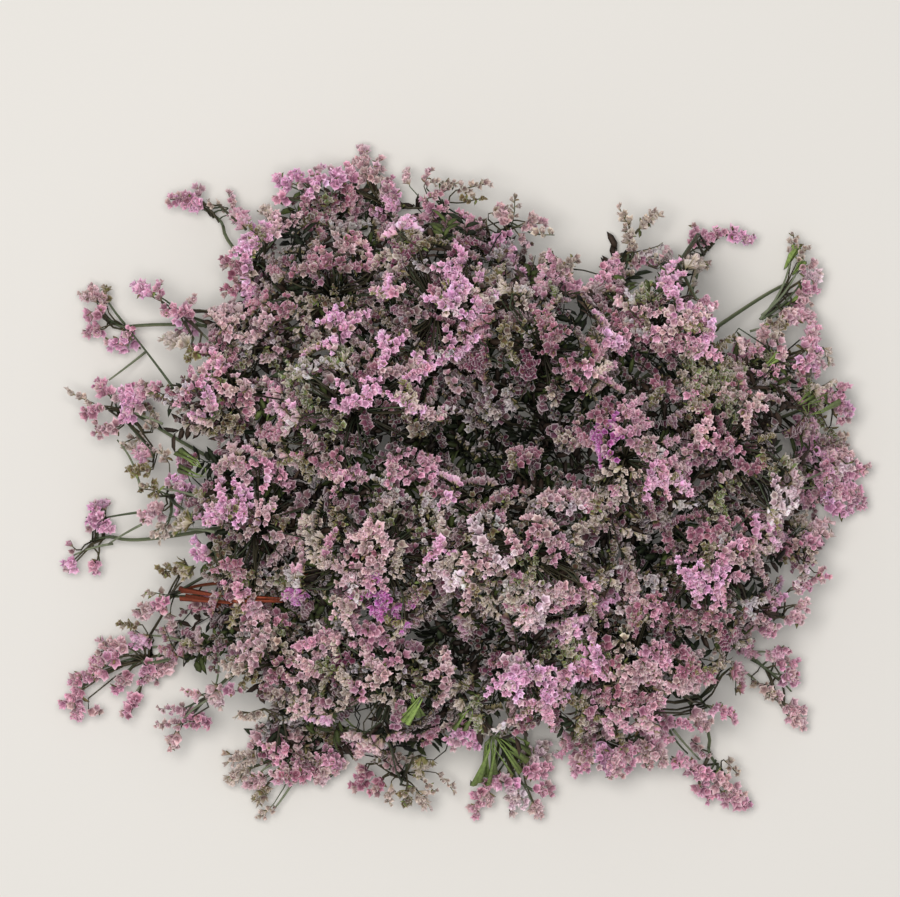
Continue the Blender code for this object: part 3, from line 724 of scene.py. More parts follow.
# How far a clump of each colour stands out of the crowd, from 0 to 1; a clump that stands out higher is also painted
# lighter
PROMINENCE = {"bright": 1.0, "pale": 0.85, "pink": 0.9, "rose": 0.6, "magenta": 0.9, "wine": 0.3, "shell": 0.95,
              "cream": 0.75, "grey": 0.65, "olive": 0.45, "green": 0.5}
BETWEEN = ["rose", "rose", "dusk", "dusk", "shell", "grey", "cream", "olive", "olive", "pink"]
clump_places = np.array([(x, y, 0.0) for places in CLUMPS.values() for x, y in places])
clump_colours = [colour for colour, places in CLUMPS.items() for _ in places]
print("clumps placed by hand:", len(clump_colours))


def dimming(x, y):
    """Painted shade of the hollows at a place: a brightness factor, 1 far from them, down to 1 - DIM in the middle of
    one.
    """
    spots = np.array(HOLLOWS)
    away = np.hypot(x[:, None] - spots[:, 0], y[:, None] - spots[:, 1]) / (1.5 * spots[:, 2])
    return 1 - DIM * np.exp(-away ** 2).max(1)


def within(spots, places):
    """True where a place lies inside one of the round spots."""
    spots = np.array(spots)
    return (np.hypot(places[:, :1] - spots[:, 0], places[:, 1:2] - spots[:, 1]) < spots[:, 2]).any(1)


# %% [markdown]
# ## The canopy
#
# Over all the heads together lies one uneven surface, the canopy. Its height at a place is the mean of the
# domes' heights there, and near heads count for more. A comb in the crowd takes its height, its slope and
# the way it faces from the canopy, so the whole bunch reads as one mass instead of as separate umbrellas.

# %% The canopy over the heads
HEADS = sorted(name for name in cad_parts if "_bloom_" in name)
IS_OUTER = np.array([name.startswith("outer") for name in HEADS])
MIDDLES = np.array([head_middle(name) for name in HEADS])
FLORET_ROOM = 5.5
DIP_MIDDLE, DIP_WIDTH, DIP_DEPTH = (22.0, 15.0), 30.0, 26.0


def ellipse_of(name):
    """A head's outline in plan as a 2 by 2 matrix, the inverse of twice the spread of its widest ring."""
    points = node_points(name)
    ring = points[np.abs(points[:, 2] - head_middle(name)[2]) < 0.05][:, :2]
    return np.linalg.inv(2 * np.cov(ring.T, bias=True))


ELLIPSES = np.array([ellipse_of(name) for name in HEADS])
DOME_RISES = np.where(IS_OUTER, RISE["outer"], RISE["inner"]) - FLORET_ROOM


def nearness(places):
    """For every place and every head, the distance from its middle as a share of its half width that way."""
    offset = places[:, None, :2] - MIDDLES[:, :2]
    return np.sqrt(np.einsum("phi,hij,phj->ph", offset, ELLIPSES, offset))


def canopy(places):
    """Height of the canopy: the domes' heights, averaged with weights exp(-4 d^2) for nearness d."""
    away = nearness(places)
    inside = np.minimum(away, 1)
    tops = MIDDLES[:, 2] + DOME_RISES * np.sqrt(1 - 0.8 * inside ** 2) - 6 * np.minimum(away - inside, 1.5)
    weight = np.exp(-4 * away ** 2) + 1e-30
    dip = np.hypot(*(places[:, :2] - DIP_MIDDLE).T) / DIP_WIDTH
    return (weight * tops).sum(1) / weight.sum(1) - DIP_DEPTH * np.exp(-dip ** 2)


def inside_outline(places):
    """True inside the outline of the crowd: a line from the place to the right crosses it an odd number of times."""
    x, y = places[:, :1], places[:, 1:2]
    x0, y0 = CROWD_OUTLINE.T
    x1, y1 = np.roll(CROWD_OUTLINE, -1, axis=0).T
    passes = (y0 > y) != (y1 > y)
    meets = x0 + (y - y0) * (x1 - x0) / np.where(y1 == y0, 1e-9, y1 - y0)
    return (passes & (x < meets)).sum(1) % 2 == 1


def canopy_normal(places):
    """The canopy's upward direction, from its height 4 mm to each side."""
    step_x, step_y = np.array([4.0, 0, 0]), np.array([0, 4.0, 0])
    slope_x = (canopy(places + step_x) - canopy(places - step_x)) / 8
    slope_y = (canopy(places + step_y) - canopy(places - step_y)) / 8
    return unit(np.stack([-slope_x, -slope_y, np.ones(len(places))], axis=1))


# %% [markdown]
# ## From places to combs
#
# A table of combs has a base, a heading, a facing way, a length and a colour for each. `fan` works them out
# for one spray placed by hand. `crowd` fills the mass by the sunflower rule, in which every comb gets the
# same room: comb n sits at n times 137.5 degrees, at a radius that grows with the square root of n.

# %% Fans and the crowd
COMB_HALF_WIDTH = 3.3
FLOOR_ROOM = 3.0
GOLDEN_ANGLE = math.radians(137.508)
BUNCH_REACH = 225.0
CLUMP_ROOM = 230.0
CLUMP_APART = 11.0
WITHERED = ("cream", "olive", "grey", "dusk", "green")


def fan(spray, rng):
    """Combs side by side along one spray, spread over its width and leaning apart towards its end."""
    x0, y0, x1, y1, half, colour = spray
    count = max(1, math.ceil(half / COMB_HALF_WIDTH))
    start, end = np.array([x0, y0, 0.0]), np.array([x1, y1, 0.0])
    way = unit(end - start)
    side = np.array([-way[1], way[0], 0.0])
    share = (np.arange(count) + 0.5) / count * 2 - 1 if count > 1 else np.zeros(1)
    inset = max(half - 2.6, 0.0)
    bases = start + share[:, None] * side * inset * 0.7
    tips = end - way * 1.8 + share[:, None] * side * inset
    bases[:, 2] = np.maximum(canopy(bases), FLOOR_ROOM)
    tips[:, 2] = np.maximum(canopy(tips), FLOOR_ROOM)
    face = unit(canopy_normal((bases + tips) / 2) + UP + rng.normal(0, 0.15, (count, 3)))
    size = np.full(count, np.clip(half / 3.2, 0.75, 1.1))
    return dict(base=bases, heading=tips - bases, face=face, length=np.linalg.norm(tips - bases, axis=1),
                # a spray's stalks keep most of their colour at the fork: little painted shade there
                size=size, colour=[colour] * count, shade=rng.uniform(0.9, 1.12, count), painted_fork_light=np.full(count, 0.8))


def sunflower(room, rng):
    """Places all over the crowded part of the bunch, each with the same room."""
    n = np.arange(int(math.pi * BUNCH_REACH ** 2 / room)) + 0.5
    radius, angle = np.sqrt(n * room / math.pi), n * GOLDEN_ANGLE + rng.uniform(0, 6)
    places = CROWN_IN_PLAN + np.stack([radius * np.cos(angle), radius * np.sin(angle), 0 * angle], axis=1)
    places = places + rng.normal(0, 0.11 * math.sqrt(room) + 0.7, places.shape) * (1, 1, 0)
    return places[inside_outline(places)]


def lay(places, headings, length, level, rng):
    """A table of combs that lie at these places, at a level under the canopy and following its slope."""
    bases = places - headings * length[:, None] * 0.5
    tips = places + headings * length[:, None] * 0.5
    bases[:, 2] = np.maximum(canopy(bases) - level, FLOOR_ROOM)
    tips[:, 2] = np.maximum(canopy(tips) - level, FLOOR_ROOM)
    steepest = 0.9 * length
    tips[:, 2] = bases[:, 2] + np.clip(tips[:, 2] - bases[:, 2], -steepest, steepest)
    face = unit(canopy_normal(places) + rng.normal(0, 0.3, places.shape))
    return dict(base=bases, heading=tips - bases, face=face, length=length, place=places,
                # a crowd comb's stalk is painted much darker at its fork
                painted_fork_light=np.full(len(places), 0.25))


def outward_turned(places, turn):
    """Level headings: outwards from the crown, turned by an angle."""
    outward = unit((places - CROWN_IN_PLAN) * (1, 1, 0))
    return outward * np.cos(turn)[:, None] + np.cross(UP, outward) * np.sin(turn)[:, None]


def crowd(room, depth, painted_shades, rng):
    """Single combs between and under the clumps. The deeper one is sunk, the smaller it is and the darker the painted
    shade on its colour.
    """
    places = sunflower(room, rng)
    count = len(places)
    sunk = rng.random(count)
    table = lay(places, outward_turned(places, rng.normal(0, 0.9, count)), rng.uniform(10, 18, count),
                depth[0] + (depth[1] - depth[0]) * sunk, rng)
    table["size"] = rng.uniform(0.75, 0.95, count) - 0.05 * sunk
    # painted shade: the deeper a comb is sunk, the darker its colour, and darker again in the hollows
    table["shade"] = (painted_shades[0] + (painted_shades[1] - painted_shades[0]) * sunk) * dimming(places[:, 0], places[:, 1])
    table["colour"] = [str(colour) for colour in rng.choice(BETWEEN, count)]
    return table


def clumps(rng):
    """The clumps: those listed, and others in the room that these leave, each of a few combs.

    The combs of a clump spread from its inner side like fingers.
    """
    others = sunflower(CLUMP_ROOM, rng)
    free = np.hypot(*(others[:, None, :2] - clump_places[:, :2]).transpose(2, 0, 1)).min(1) > CLUMP_APART
    others = others[free & ~within(HOLLOWS + NOTCHES, others)]
    middles = np.concatenate([clump_places, others])
    middles[:, :2] += rng.normal(0, 1.0, (len(middles), 2))
    colours = clump_colours + [str(colour) for colour in rng.choice(BETWEEN, len(others))]
    stands_out = np.array([PROMINENCE.get(colour, 0.4) for colour in clump_colours] + [0.45] * len(others))
    stands_out = np.clip(stands_out + rng.normal(0, 0.1, len(middles)), 0.1, 1.1)
    fingers = rng.integers(3, 5, len(middles)) + (stands_out > 0.8)
    clump = np.repeat(np.arange(len(middles)), fingers)
    number = np.concatenate([np.arange(count) - (count - 1) / 2 for count in fingers])
    turn = rng.normal(0, 0.8, len(middles))[clump]
    spread = turn + number * 0.8 + rng.normal(0, 0.35, len(clump))
    length = rng.uniform(8, 16, len(clump))
    back = outward_turned(middles[clump], turn) * -4 + rng.normal(0, 1.5, (len(clump), 3))
    headings = outward_turned(middles[clump], spread)
    places = middles[clump] + back + headings * length[:, None] * 0.5
    places[:, 2] = 0
    level = 6 - 10 * stands_out[clump] + rng.normal(0, 1.2, len(clump))
    table = lay(places, headings, length, level, rng)
    table["size"] = rng.uniform(0.76, 0.96, len(clump))
    # painted light and shade: a clump that stands higher is painted brighter, and the hollows' painted shade darkens
    # it, softened here
    shade = (0.6 + 0.55 * stands_out[clump]) * rng.normal(1, 0.1, len(clump))
    table["shade"] = shade * dimming(places[:, 0], places[:, 1]) ** 0.5
    table["colour"] = [colours[i] if rng.random() < 0.85 else str(rng.choice(BETWEEN)) for i in clump]
    return table


def clear(table):
    """True for combs that keep out of the notches and have their tips inside the outline."""
    tips = table["base"] + table["heading"]
    inner = CROWN_IN_PLAN + (tips - CROWN_IN_PLAN) * 0.98
    in_notch = within(NOTCHES, table["base"]) | within(NOTCHES, table["place"]) | within(NOTCHES, tips)
    return inside_outline(inner) & ~in_notch


def rows(table, keep):
    """The rows of a table that a condition keeps."""
    return {key: ([v for v, k in zip(value, keep) if k] if key == "colour" else value[keep])
            for key, value in table.items()}


def together(tables):
    """One table of combs from several, with the columns that they share."""
    shared = [key for key in tables[0] if all(key in table for table in tables)]
    return {key: (sum((list(t[key]) for t in tables), []) if key == "colour"
                  else np.concatenate([t[key] for t in tables])) for key in shared}


def dress(combs, rng):
    """Adds what the colour decides, and how each comb bends and how its florets lean."""
    count = len(combs["base"])
    withered = np.array([colour in WITHERED for colour in combs["colour"]])
    # petal colour times shade: random tone for the sprays, painted light and shade in the crowd
    combs["tint"] = np.array([PETALS[colour] for colour in combs["colour"]]) * combs["shade"][:, None]
    combs["open"] = np.where(withered, 0.4, 0.85) + rng.normal(0, 0.1, count)
    combs["crumple"] = np.where(withered, 0.9, 0.55)
    combs["faded"] = np.where(withered, 0.35, 0.16)
    combs["step"] = np.where(withered, FLORET_STEP * 1.12, FLORET_STEP)
    green = np.array([colour in ("green", "olive") for colour in combs["colour"]])
    combs["leafy"] = np.where(green, 0.9, LEAF_SHARE)
    combs["leaf"] = np.where((green | (rng.random(count) < 0.15))[:, None], LEAF_FRESH, LEAF_GREEN)
    combs["stalk"] = np.where(rng.random((count, 1)) < 0.3, STALK_GREEN, STALK_DULL)
    combs["sweep"] = rng.normal(0, 0.16, count)
    combs["lift"] = rng.uniform(0.02, 0.25, count)
    combs["curl"] = combs["lift"] * 0.9 + rng.normal(0.05, 0.12, count)
    combs["spread"] = rng.uniform(0.35, 0.75, count)
    combs["forward"] = rng.uniform(0.1, 0.6, count)
    return combs


def hub_of(bloom):
    """The place where the stalks of a head come together: under its middle, or where the list says."""
    middle = MIDDLES[HEADS.index(bloom)]
    hub = np.array([*FORKS_AT.get(bloom, middle[:2]), middle[2] - 5.0])
    return np.maximum(hub, (-999, -999, 1.5))


def fork_in_head(combs, bloom, rng):
    """In a head, stalks fork off along the way from the seat to the hub."""
    count = len(combs["base"])
    touch, normal = SEATS[bloom]
    hub = hub_of(bloom)
    combs["fork"] = touch + (hub - touch) * rng.uniform(0.1, 1.0, (count, 1))
    combs["fork_way"] = np.broadcast_to(-normal, (count, 3)) * 0.6 + unit(combs["base"] - combs["fork"]) * 0.6


def on_canopy(plan, depth):
    """Plan places, (count, 2), at a depth under the canopy, but above the floor."""
    places = np.column_stack([plan, np.zeros(len(plan))])
    places[:, 2] = np.maximum(canopy(places) - depth, 1.2)
    return places


def grow_bare_stalks(heap, stalks, rng):
    """Thin stalks as listed: each bends a little to one side, like a drawn bow."""
    if not stalks:
        return
    ends = np.array(stalks, float)
    start, end = on_canopy(ends[:, :2], 3.0), on_canopy(ends[:, 2:], 1.0)
    bow = np.cross(UP, end - start) * rng.normal(0, 0.06, (len(ends), 1))
    paths = bezier(start, start + (end - start) / 3 + bow, end - (end - start) / 3 + bow, end, 7)
    radii = np.broadcast_to(np.linspace(0.75, 0.45, 7), (len(ends), 7))
    across = np.broadcast_to(UP, (len(ends), 3))
    tint = np.where(rng.random((len(ends), 1)) < 0.5, STALK_GREEN, STALK_PALE)
    heap.add(tubes(paths, radii, 6, across), 7, 6, STALK, tint, np.zeros(1), np.zeros(1))


def grow_wings(heap, wings, colour, rng):
    """Leafy wings as listed: each is a few flat wedges that spread to the wing's width at its end."""
    if not wings:
        return
    sizes = np.repeat(np.array(wings, float), LEAVES_IN_WING, axis=0)
    count = len(sizes)
    start, end = on_canopy(sizes[:, :2], -1.0), on_canopy(sizes[:, 2:4], -2.0)
    side = sideways(end - start, UP)
    share = np.tile(np.linspace(-0.5, 0.5, LEAVES_IN_WING), len(wings))[:, None]
    end = end + side * share * sizes[:, 4:] * 0.7 + rng.normal(0, 0.4, (count, 3))
    length = np.linalg.norm(end - start, axis=1) * rng.uniform(0.85, 1.0, count)
    width = 0.8 + 1.7 * sizes[:, 4] / LEAVES_IN_WING
    leaves = scale_leaves(start, end - start, UP + rng.normal(0, 0.3, start.shape), length, width, WEDGE_RINGS)
    tint = colour * rng.normal(1, 0.15, (count, 1))
    heap.add(leaves, len(WEDGE_RINGS), LEAF_COLUMNS, LEAF, tint, LEAF_ALONG * 0.8, np.zeros(1))


# %% [markdown]
# ## The stems' routes
#
# Each stem rises from its cut end and bends over to its own flower head, and a branch leaves it for each of
# its other heads. The frame's solids follow the same curves, so the routes are worked out here by the same
# rule: a Bezier curve from the cut end to the seat, the point where the stalk meets the head.

# %% Routes of the stems
STEM_SIZES = {"foot": 3.6, "tip": 1.7, "branch": 0.82}
GAP = 0.3
SEAT_STRAIGHT = 3.0
FOOT_STRAIGHT = 4.0
DEPARTURE = 0.3
STEM_RULES = {
    "outer": {"lift": 58.0, "lean": 6.0, "arrival": 20.0, "forks": (0.36, 0.45, 0.28)},
    "inner": {"lift": 68.0, "lean": 3.0, "arrival": 24.0, "forks": (0.52, 0.32, 0.27, 0.38, 0.22)},
}
SEAT_DIP = {"resting": -9.0, "raised": 24.0, "inner": 62.0}
HEADS_ON = {stem: 3 for stem in outer_stems}
HEADS_ON.update({"outer_stem_10": 4, "inner_stem_01": 5, "inner_stem_02": 5, "inner_stem_03": 6})
STEM_POINTS = 13
BRANCH_POINTS = 8


def seat_on(bloom):
    """Where a stalk meets a head: a ray from the crown's side, a few degrees below level, hits its dome."""
    middle = head_middle(bloom)
    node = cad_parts[bloom].data
    tree = BVHTree.FromPolygons([v.co for v in node.vertices], [p.vertices for p in node.polygons])
    if bloom.startswith("inner"):
        dip = SEAT_DIP["inner"]
    else:
        dip = SEAT_DIP["resting"] if node_points(bloom)[:, 2].min() < 0.5 else SEAT_DIP["raised"]
    inward = unit((CROWN_IN_PLAN - middle) * (1, 1, 0))
    ray = inward * math.cos(math.radians(dip)) - UP * math.sin(math.radians(dip))
    far_point = Vector((middle + PLAN_SHIFT + ray * 200) * MM)
    touch, normal, _, _ = tree.ray_cast(far_point, Vector(-ray))
    return np.array(touch) / MM - PLAN_SHIFT, np.array(normal)


def to_seat(start, first_handle, seat, arrival, count):
    """A Bezier curve that ends in a short straight stretch, square to the head that it meets."""
    touch, normal = seat
    tip = touch + normal * GAP
    end = tip + normal * SEAT_STRAIGHT
    curve = bezier(*(point[None] for point in (start, first_handle, end + normal * arrival, end)), count - 1)[0]
    return np.concatenate([curve, tip[None]])


def stem_route(foot, rule, seat):
    """From the cut end straight up, then over and out to the seat."""
    outward = unit((seat[0] - foot) * (1, 1, 0))
    start = foot + UP * FOOT_STRAIGHT
    first_handle = foot + outward * rule["lean"] + UP * rule["lift"]
    return np.concatenate([foot[None], to_seat(start, first_handle, seat, rule["arrival"], STEM_POINTS - 1)])


def branch_route(stem, share, rule, seat):
    """Leaves the stem along its own direction and bends over to its head."""
    position = share * (len(stem) - 1)
    index = int(position)
    start = stem[index] + (stem[index + 1] - stem[index]) * (position - index)
    along = unit(stem[index + 1] - stem[index])
    first_handle = start + along * np.linalg.norm(seat[0] - start) * DEPARTURE
    return to_seat(start, first_handle, seat, rule["arrival"], BRANCH_POINTS)


def smooth_path(points, steps):
    """The same route through more points: a Catmull-Rom curve, resampled at even shares of its length."""
    padded = np.concatenate([2 * points[:1] - points[1:2], points, 2 * points[-1:] - points[-2:-1]])
    t = np.linspace(0, 1, 8, endpoint=False)[:, None]
    a, b, c, d = (padded[i:len(padded) - 3 + i, None] for i in range(4))
    fine = 0.5 * (2 * b + (c - a) * t + (2 * a - 5 * b + 4 * c - d) * t ** 2 + (3 * b - a - 3 * c + d) * t ** 3)
    fine = np.concatenate([fine.reshape(-1, 3), points[-1:]])
    run = np.concatenate([[0], np.cumsum(np.linalg.norm(np.diff(fine, axis=0), axis=1))])
    even = np.linspace(0, run[-1], steps)
    return np.stack([np.interp(even, run, fine[:, axis]) for axis in range(3)], axis=1)


# %% [markdown]
# ## Finishes
#
# The floret's finish reads its own colour, a value along the funnel, and one that tells points from
# notches. The colour goes from a green and tan base through the petal colour to a pale papery rim, and
# inside the funnel down to a throat darkened with painted shade; the notches get painted shade too. Fine
# noise gives it dry blotches. Scale leaves and stalks have their own colour with fibres and specks.

# %% Finishes
def node(tree, kind, inputs=None, **settings):
    """Adds a shader node, sets its settings, and sets or links its inputs."""
    made = tree.nodes.new(kind)
    for name, value in settings.items():
        setattr(made, name, value)
    for name, value in (inputs or {}).items():
        if isinstance(value, bpy.types.NodeSocket):
            tree.links.new(value, made.inputs[name])
        else:
            made.inputs[name].default_value = value
    return made


def mixed(tree, share, first, second, blend="MIX"):
    """Mixes two colours by a share."""
    inputs = {0: share, 6: first, 7: second}
    return node(tree, "ShaderNodeMix", inputs, data_type="RGBA", blend_type=blend).outputs[2]


def ramp(tree, value, stops):
    """A grey ramp: stops are (place, brightness)."""
    made = node(tree, "ShaderNodeValToRGB", {0: value})
    points = made.color_ramp.elements
    while len(points) < len(stops):
        points.new(0.5)
    for point, (place, level) in zip(points, stops):
        point.position = place
        point.color = (level, level, level, 1)
    return made.outputs[0]


def noise(tree, scale, detail=3.0, roughness=0.6):
    place = node(tree, "ShaderNodeTexCoord").outputs["Object"]
    return node(tree, "ShaderNodeTexNoise", {"Vector": place, "Scale": scale, "Detail": detail,
                                             "Roughness": roughness}).outputs["Fac"]


def bump(tree, height, strength, distance):
    return node(tree, "ShaderNodeBump", {"Height": height, "Strength": strength,
                                         "Distance": distance}).outputs["Normal"]


def new_finish(name, roughness):
    material = bpy.data.materials.new(name)
    material.use_nodes = True
    shader = material.node_tree.nodes["Principled BSDF"]
    shader.inputs["Roughness"].default_value = roughness
    shader.inputs["Specular IOR Level"].default_value = 0.25
    return material, material.node_tree, shader


def colour4(values):
    return (*values, 1.0)


def floret_finish():
    material, tree, shader = new_finish("papery floret", 0.7)
    tint = node(tree, "ShaderNodeAttribute", attribute_name="tint").outputs["Color"]
    along = node(tree, "ShaderNodeAttribute", attribute_name="along").outputs["Fac"]
    fold = node(tree, "ShaderNodeAttribute", attribute_name="fold").outputs["Fac"]
    half = node(tree, "ShaderNodeMath", {0: along, 1: 0.5}, operation="MULTIPLY").outputs[0]
    base = ramp(tree, half, [(0.0, 1.0), (0.17, 0.75), (0.33, 0.0), (1.0, 0.0)])
    rim = ramp(tree, half, [(0.38, 0.0), (0.49, 0.75), (0.51, 0.75), (0.62, 0.0)])
    # painted shade: darker down inside the funnel
    throat = ramp(tree, half, [(0.62, 0.0), (0.74, 0.65), (1.0, 1.0)])
    # painted shade: the notches between the points are darkened
    crease_shade = ramp(tree, node(tree, "ShaderNodeMath", {0: fold, 1: 0.5, 2: 0.5}, operation="MULTIPLY_ADD").outputs[0],
                  [(0.0, 0.55), (0.35, 0.0), (1.0, 0.0)])
    blotch = ramp(tree, noise(tree, 420, 4.0, 0.7), [(0.55, 0.0), (0.72, 0.5)])
    fleck = noise(tree, 1500, 2.0)
    colour = mixed(tree, base, tint, colour4(CALYX))
    colour = mixed(tree, rim, colour, mixed(tree, 0.65, tint, colour4(RIM_PALE)))
    colour = mixed(tree, throat, colour, mixed(tree, 0.7, tint, colour4(THROAT_SHADE)))
    colour = mixed(tree, crease_shade, colour, mixed(tree, 0.8, colour, tint, "MULTIPLY"), "MIX")
    colour = mixed(tree, blotch, colour, mixed(tree, 0.5, colour, colour4(paint(150, 116, 84))))
    grain = mixed(tree, 0.35, colour, fleck, "OVERLAY")
    tree.links.new(grain, shader.inputs["Base Color"])
    tree.links.new(bump(tree, fleck, 0.3, 0.0003), shader.inputs["Normal"])
    return material


def leaf_finish(name, roughness, fibre):
    material, tree, shader = new_finish(name, roughness)
    tint = node(tree, "ShaderNodeAttribute", attribute_name="tint").outputs["Color"]
    along = node(tree, "ShaderNodeAttribute", attribute_name="along").outputs["Fac"]
    dry_tip = ramp(tree, along, [(0.6, 0.0), (1.0, 0.5)])
    speck = ramp(tree, noise(tree, fibre, 4.0, 0.65), [(0.35, 0.55), (0.65, 1.15)])
    colour = mixed(tree, dry_tip, tint, colour4(paint(150, 128, 92)))
    colour = mixed(tree, 0.8, colour, speck, "MULTIPLY")
    tree.links.new(colour, shader.inputs["Base Color"])
    tree.links.new(bump(tree, noise(tree, fibre * 2, 2.0), 0.4, 0.0003), shader.inputs["Normal"])
    return material


def stalk_finish():
    material, tree, shader = new_finish("dry stalk", 0.6)
    tint = node(tree, "ShaderNodeAttribute", attribute_name="tint").outputs["Color"]
    fold = node(tree, "ShaderNodeAttribute", attribute_name="fold").outputs["Fac"]
    edge = ramp(tree, fold, [(0.4, 0.0), (1.0, 0.45)])
    speck = ramp(tree, noise(tree, 300, 5.0, 0.65), [(0.3, 0.6), (0.7, 1.1)])
    colour = mixed(tree, edge, tint, colour4(paint(150, 146, 112)))
    colour = mixed(tree, 0.75, colour, speck, "MULTIPLY")
    tree.links.new(colour, shader.inputs["Base Color"])
    tree.links.new(bump(tree, noise(tree, 900, 3.0), 0.5, 0.0004), shader.inputs["Normal"])
    return material


FINISHES = [floret_finish(), leaf_finish("scale leaf", 0.65, 700), stalk_finish()]
print("finishes:", [finish.name for finish in FINISHES])

# %% [markdown]
# ## Growing the bunch
#
# Stem by stem: first its routes, then the stem's own skin with three low wings, as real statice stems have,
# and then each of its heads.

# %% The routes of all the stems
WING_COLUMNS = 12
WINGS = 3
WING_DEPTH = 0.22
ROUTE_STEP = 4.0

heads_left = {kind: [name for name in HEADS if name.startswith(kind)] for kind in ("outer", "inner")}
BLOOMS = {stem: [heads_left[stem[:5]].pop(0) for _ in range(HEADS_ON[stem])] for stem in outer_stems + inner_stems}
SEATS = {bloom: seat_on(bloom) for bloom in HEADS}


def routes_of(stem):
    """The route, foot thickness and colour of a stem and of each of its branches."""
    rule = STEM_RULES[stem[:5]]
    seats = [SEATS[bloom] for bloom in BLOOMS[stem]]
    foot = foot_in_frame(stem) * (1, 1, 0) - PLAN_SHIFT
    main = stem_route(foot, rule, seats[0])
    routes = [(main, STEM_SIZES["foot"], STALK_GREEN)]
    for share, seat in zip(rule["forks"], seats[1:]):
        there = STEM_SIZES["foot"] + (STEM_SIZES["tip"] - STEM_SIZES["foot"]) * share
        routes.append((branch_route(main, share, rule, seat), there * STEM_SIZES["branch"], STALK_GREEN))
    if stem == "outer_stem_08":
        routes[-1] = (*routes[-1][:2], STALK_RUST)
    smooth = []
    for route, thick, tint in routes:
        steps = max(16, int(np.linalg.norm(np.diff(route, axis=0), axis=1).sum() / ROUTE_STEP))
        smooth.append((smooth_path(route, steps), thick, tint))
    return smooth


ROUTES = {stem: routes_of(stem) for stem in BLOOMS}
route_points = np.concatenate([path for routes in ROUTES.values() for path, _, _ in routes])
route_ways = np.concatenate([np.gradient(path, axis=0) for routes in ROUTES.values() for path, _, _ in routes])
route_owner = np.concatenate([[n] * sum(len(path) for path, _, _ in routes) for n, routes in enumerate(ROUTES.values())])
print("routes:", sum(len(routes) for routes in ROUTES.values()), "points on them:", len(route_points))

# %% [markdown]
# ## Sharing out the crowd
#
# A comb near a head belongs to that head. The others, and all those of the lower layer, which painted shade
# makes dull, grow straight from the stems: each one forks off the stem point that is nearest to it and
# further in than it is.

# %% Share out the crowd
BETWEEN_ROOM = 150.0
UNDER_ROOM = 150.0
LEAFY_ROOM = 105.0
HEAD_REACH = 1.25
OUTWARD_PRICE = 2.5


def fork_on_stems(combs):
    """Finds each comb's cheapest stem point: the distance, plus a price for points further out than the comb."""
    base = combs["base"]
    apart = np.linalg.norm(base[:, None] - route_points, axis=2)
    out = np.hypot(*(base - CROWN_IN_PLAN)[:, :2].T)
    route_out = np.hypot(*(route_points - CROWN_IN_PLAN)[:, :2].T)
    too_far_out = np.maximum(route_out - out[:, None] + 8, 0)
    too_high = np.maximum(route_points[:, 2] - base[:, 2:] + 6, 0)
    best = (apart + OUTWARD_PRICE * (too_far_out + too_high)).argmin(1)
    combs["fork"] = route_points[best]
    combs["fork_way"] = unit(route_ways[best]) + unit(base - route_points[best])
    combs["stem"] = route_owner[best]


rng = np.random.default_rng(7)
upper = clumps(rng)
upper["plain"] = np.zeros(len(upper["place"]), bool)
# between combs: painted shade from 0.85 of their colour at the top down to 0.4 at the deepest
between = crowd(BETWEEN_ROOM, (3.0, 12.0), (0.85, 0.4), rng)
between["plain"] = np.ones(len(between["place"]), bool)
upper = together([upper, between])
upper = rows(upper, clear(upper) & ~within(HOLLOWS, upper["place"]))
away = nearness(upper["place"])
upper["head"] = away.argmin(1)
near_head = away.min(1) < HEAD_REACH
loose = rows(upper, ~near_head)
upper = rows(upper, near_head)
# under layer: painted shade from 0.5 of its colour down to 0.3
under = crowd(UNDER_ROOM, (12.0, 20.0), (0.5, 0.3), rng)
under = rows(under, clear(under))
# leafy twigs: painted shade from their full colour down to 0.6 of it
leafy = crowd(LEAFY_ROOM, (18.0, 34.0), (1.0, 0.6), rng)
leafy = rows(leafy, inside_outline(leafy["place"] * 1.07) & clear(leafy))
leafy["length"] = leafy["length"] * 1.3
leafy["colour"] = ["dusk"] * len(leafy["place"])
for table in (loose, under, leafy):
    fork_on_stems(table)
print("combs on heads:", len(upper["colour"]), "on stems:", len(loose["colour"]), "under:", len(under["colour"]),
      "leafy twigs:", len(leafy["colour"]))

# %% [markdown]
# ## Growing the pieces
#
# One piece for each solid of the frame. A stem has its own skin with three low wings, as real statice stems
# have, and the combs that fork off it. A head has its listed sprays and its share of the crowd.

# %% Grow every piece
def place_piece(mesh, name, cad_node):
    piece = bpy.data.objects.new(name, mesh)
    bpy.context.scene.collection.objects.link(piece)
    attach(piece, "root")
    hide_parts(cad_node)
    return sum(len(polygon.vertices) - 2 for polygon in mesh.polygons)


def grow_head(bloom, rng):
    heap = Heap()
    number = HEADS.index(bloom)
    mine = upper["head"] == number
    tables = [fan(spray, rng) for spray in SPRAYS.get(bloom, [])] + [rows(upper, mine & ~upper["plain"])]
    total = 0
    for table, funnel in ((together(tables), FUNNEL), (rows(upper, mine & upper["plain"]), PLAIN_FUNNEL)):
        if table["colour"]:
            combs = dress(table, rng)
            fork_in_head(combs, bloom, rng)
            total += grow_combs(heap, combs, funnel, 2 * PLEATS, rng)
    touch, normal = SEATS[bloom]
    hub = hub_of(bloom)
    stalk = bezier(touch[None], (touch - normal * 4)[None], (hub - UP)[None], hub[None], 8)
    heap.add(tubes(stalk, np.linspace(0.85, 0.5, 8)[None], 6, np.array([[0.3, 1.0, 0.1]])), 8, 6, STALK,
             STALK_GREEN[None], np.zeros(1), np.zeros(1))
    grow_bare_stalks(heap, BARE_STALKS.get(bloom, []), rng)
    grow_wings(heap, WINGS_BY_HAND.get(bloom, []), STALK_RUST if bloom in RUSTY else LEAF_FRESH, rng)
    return heap, total


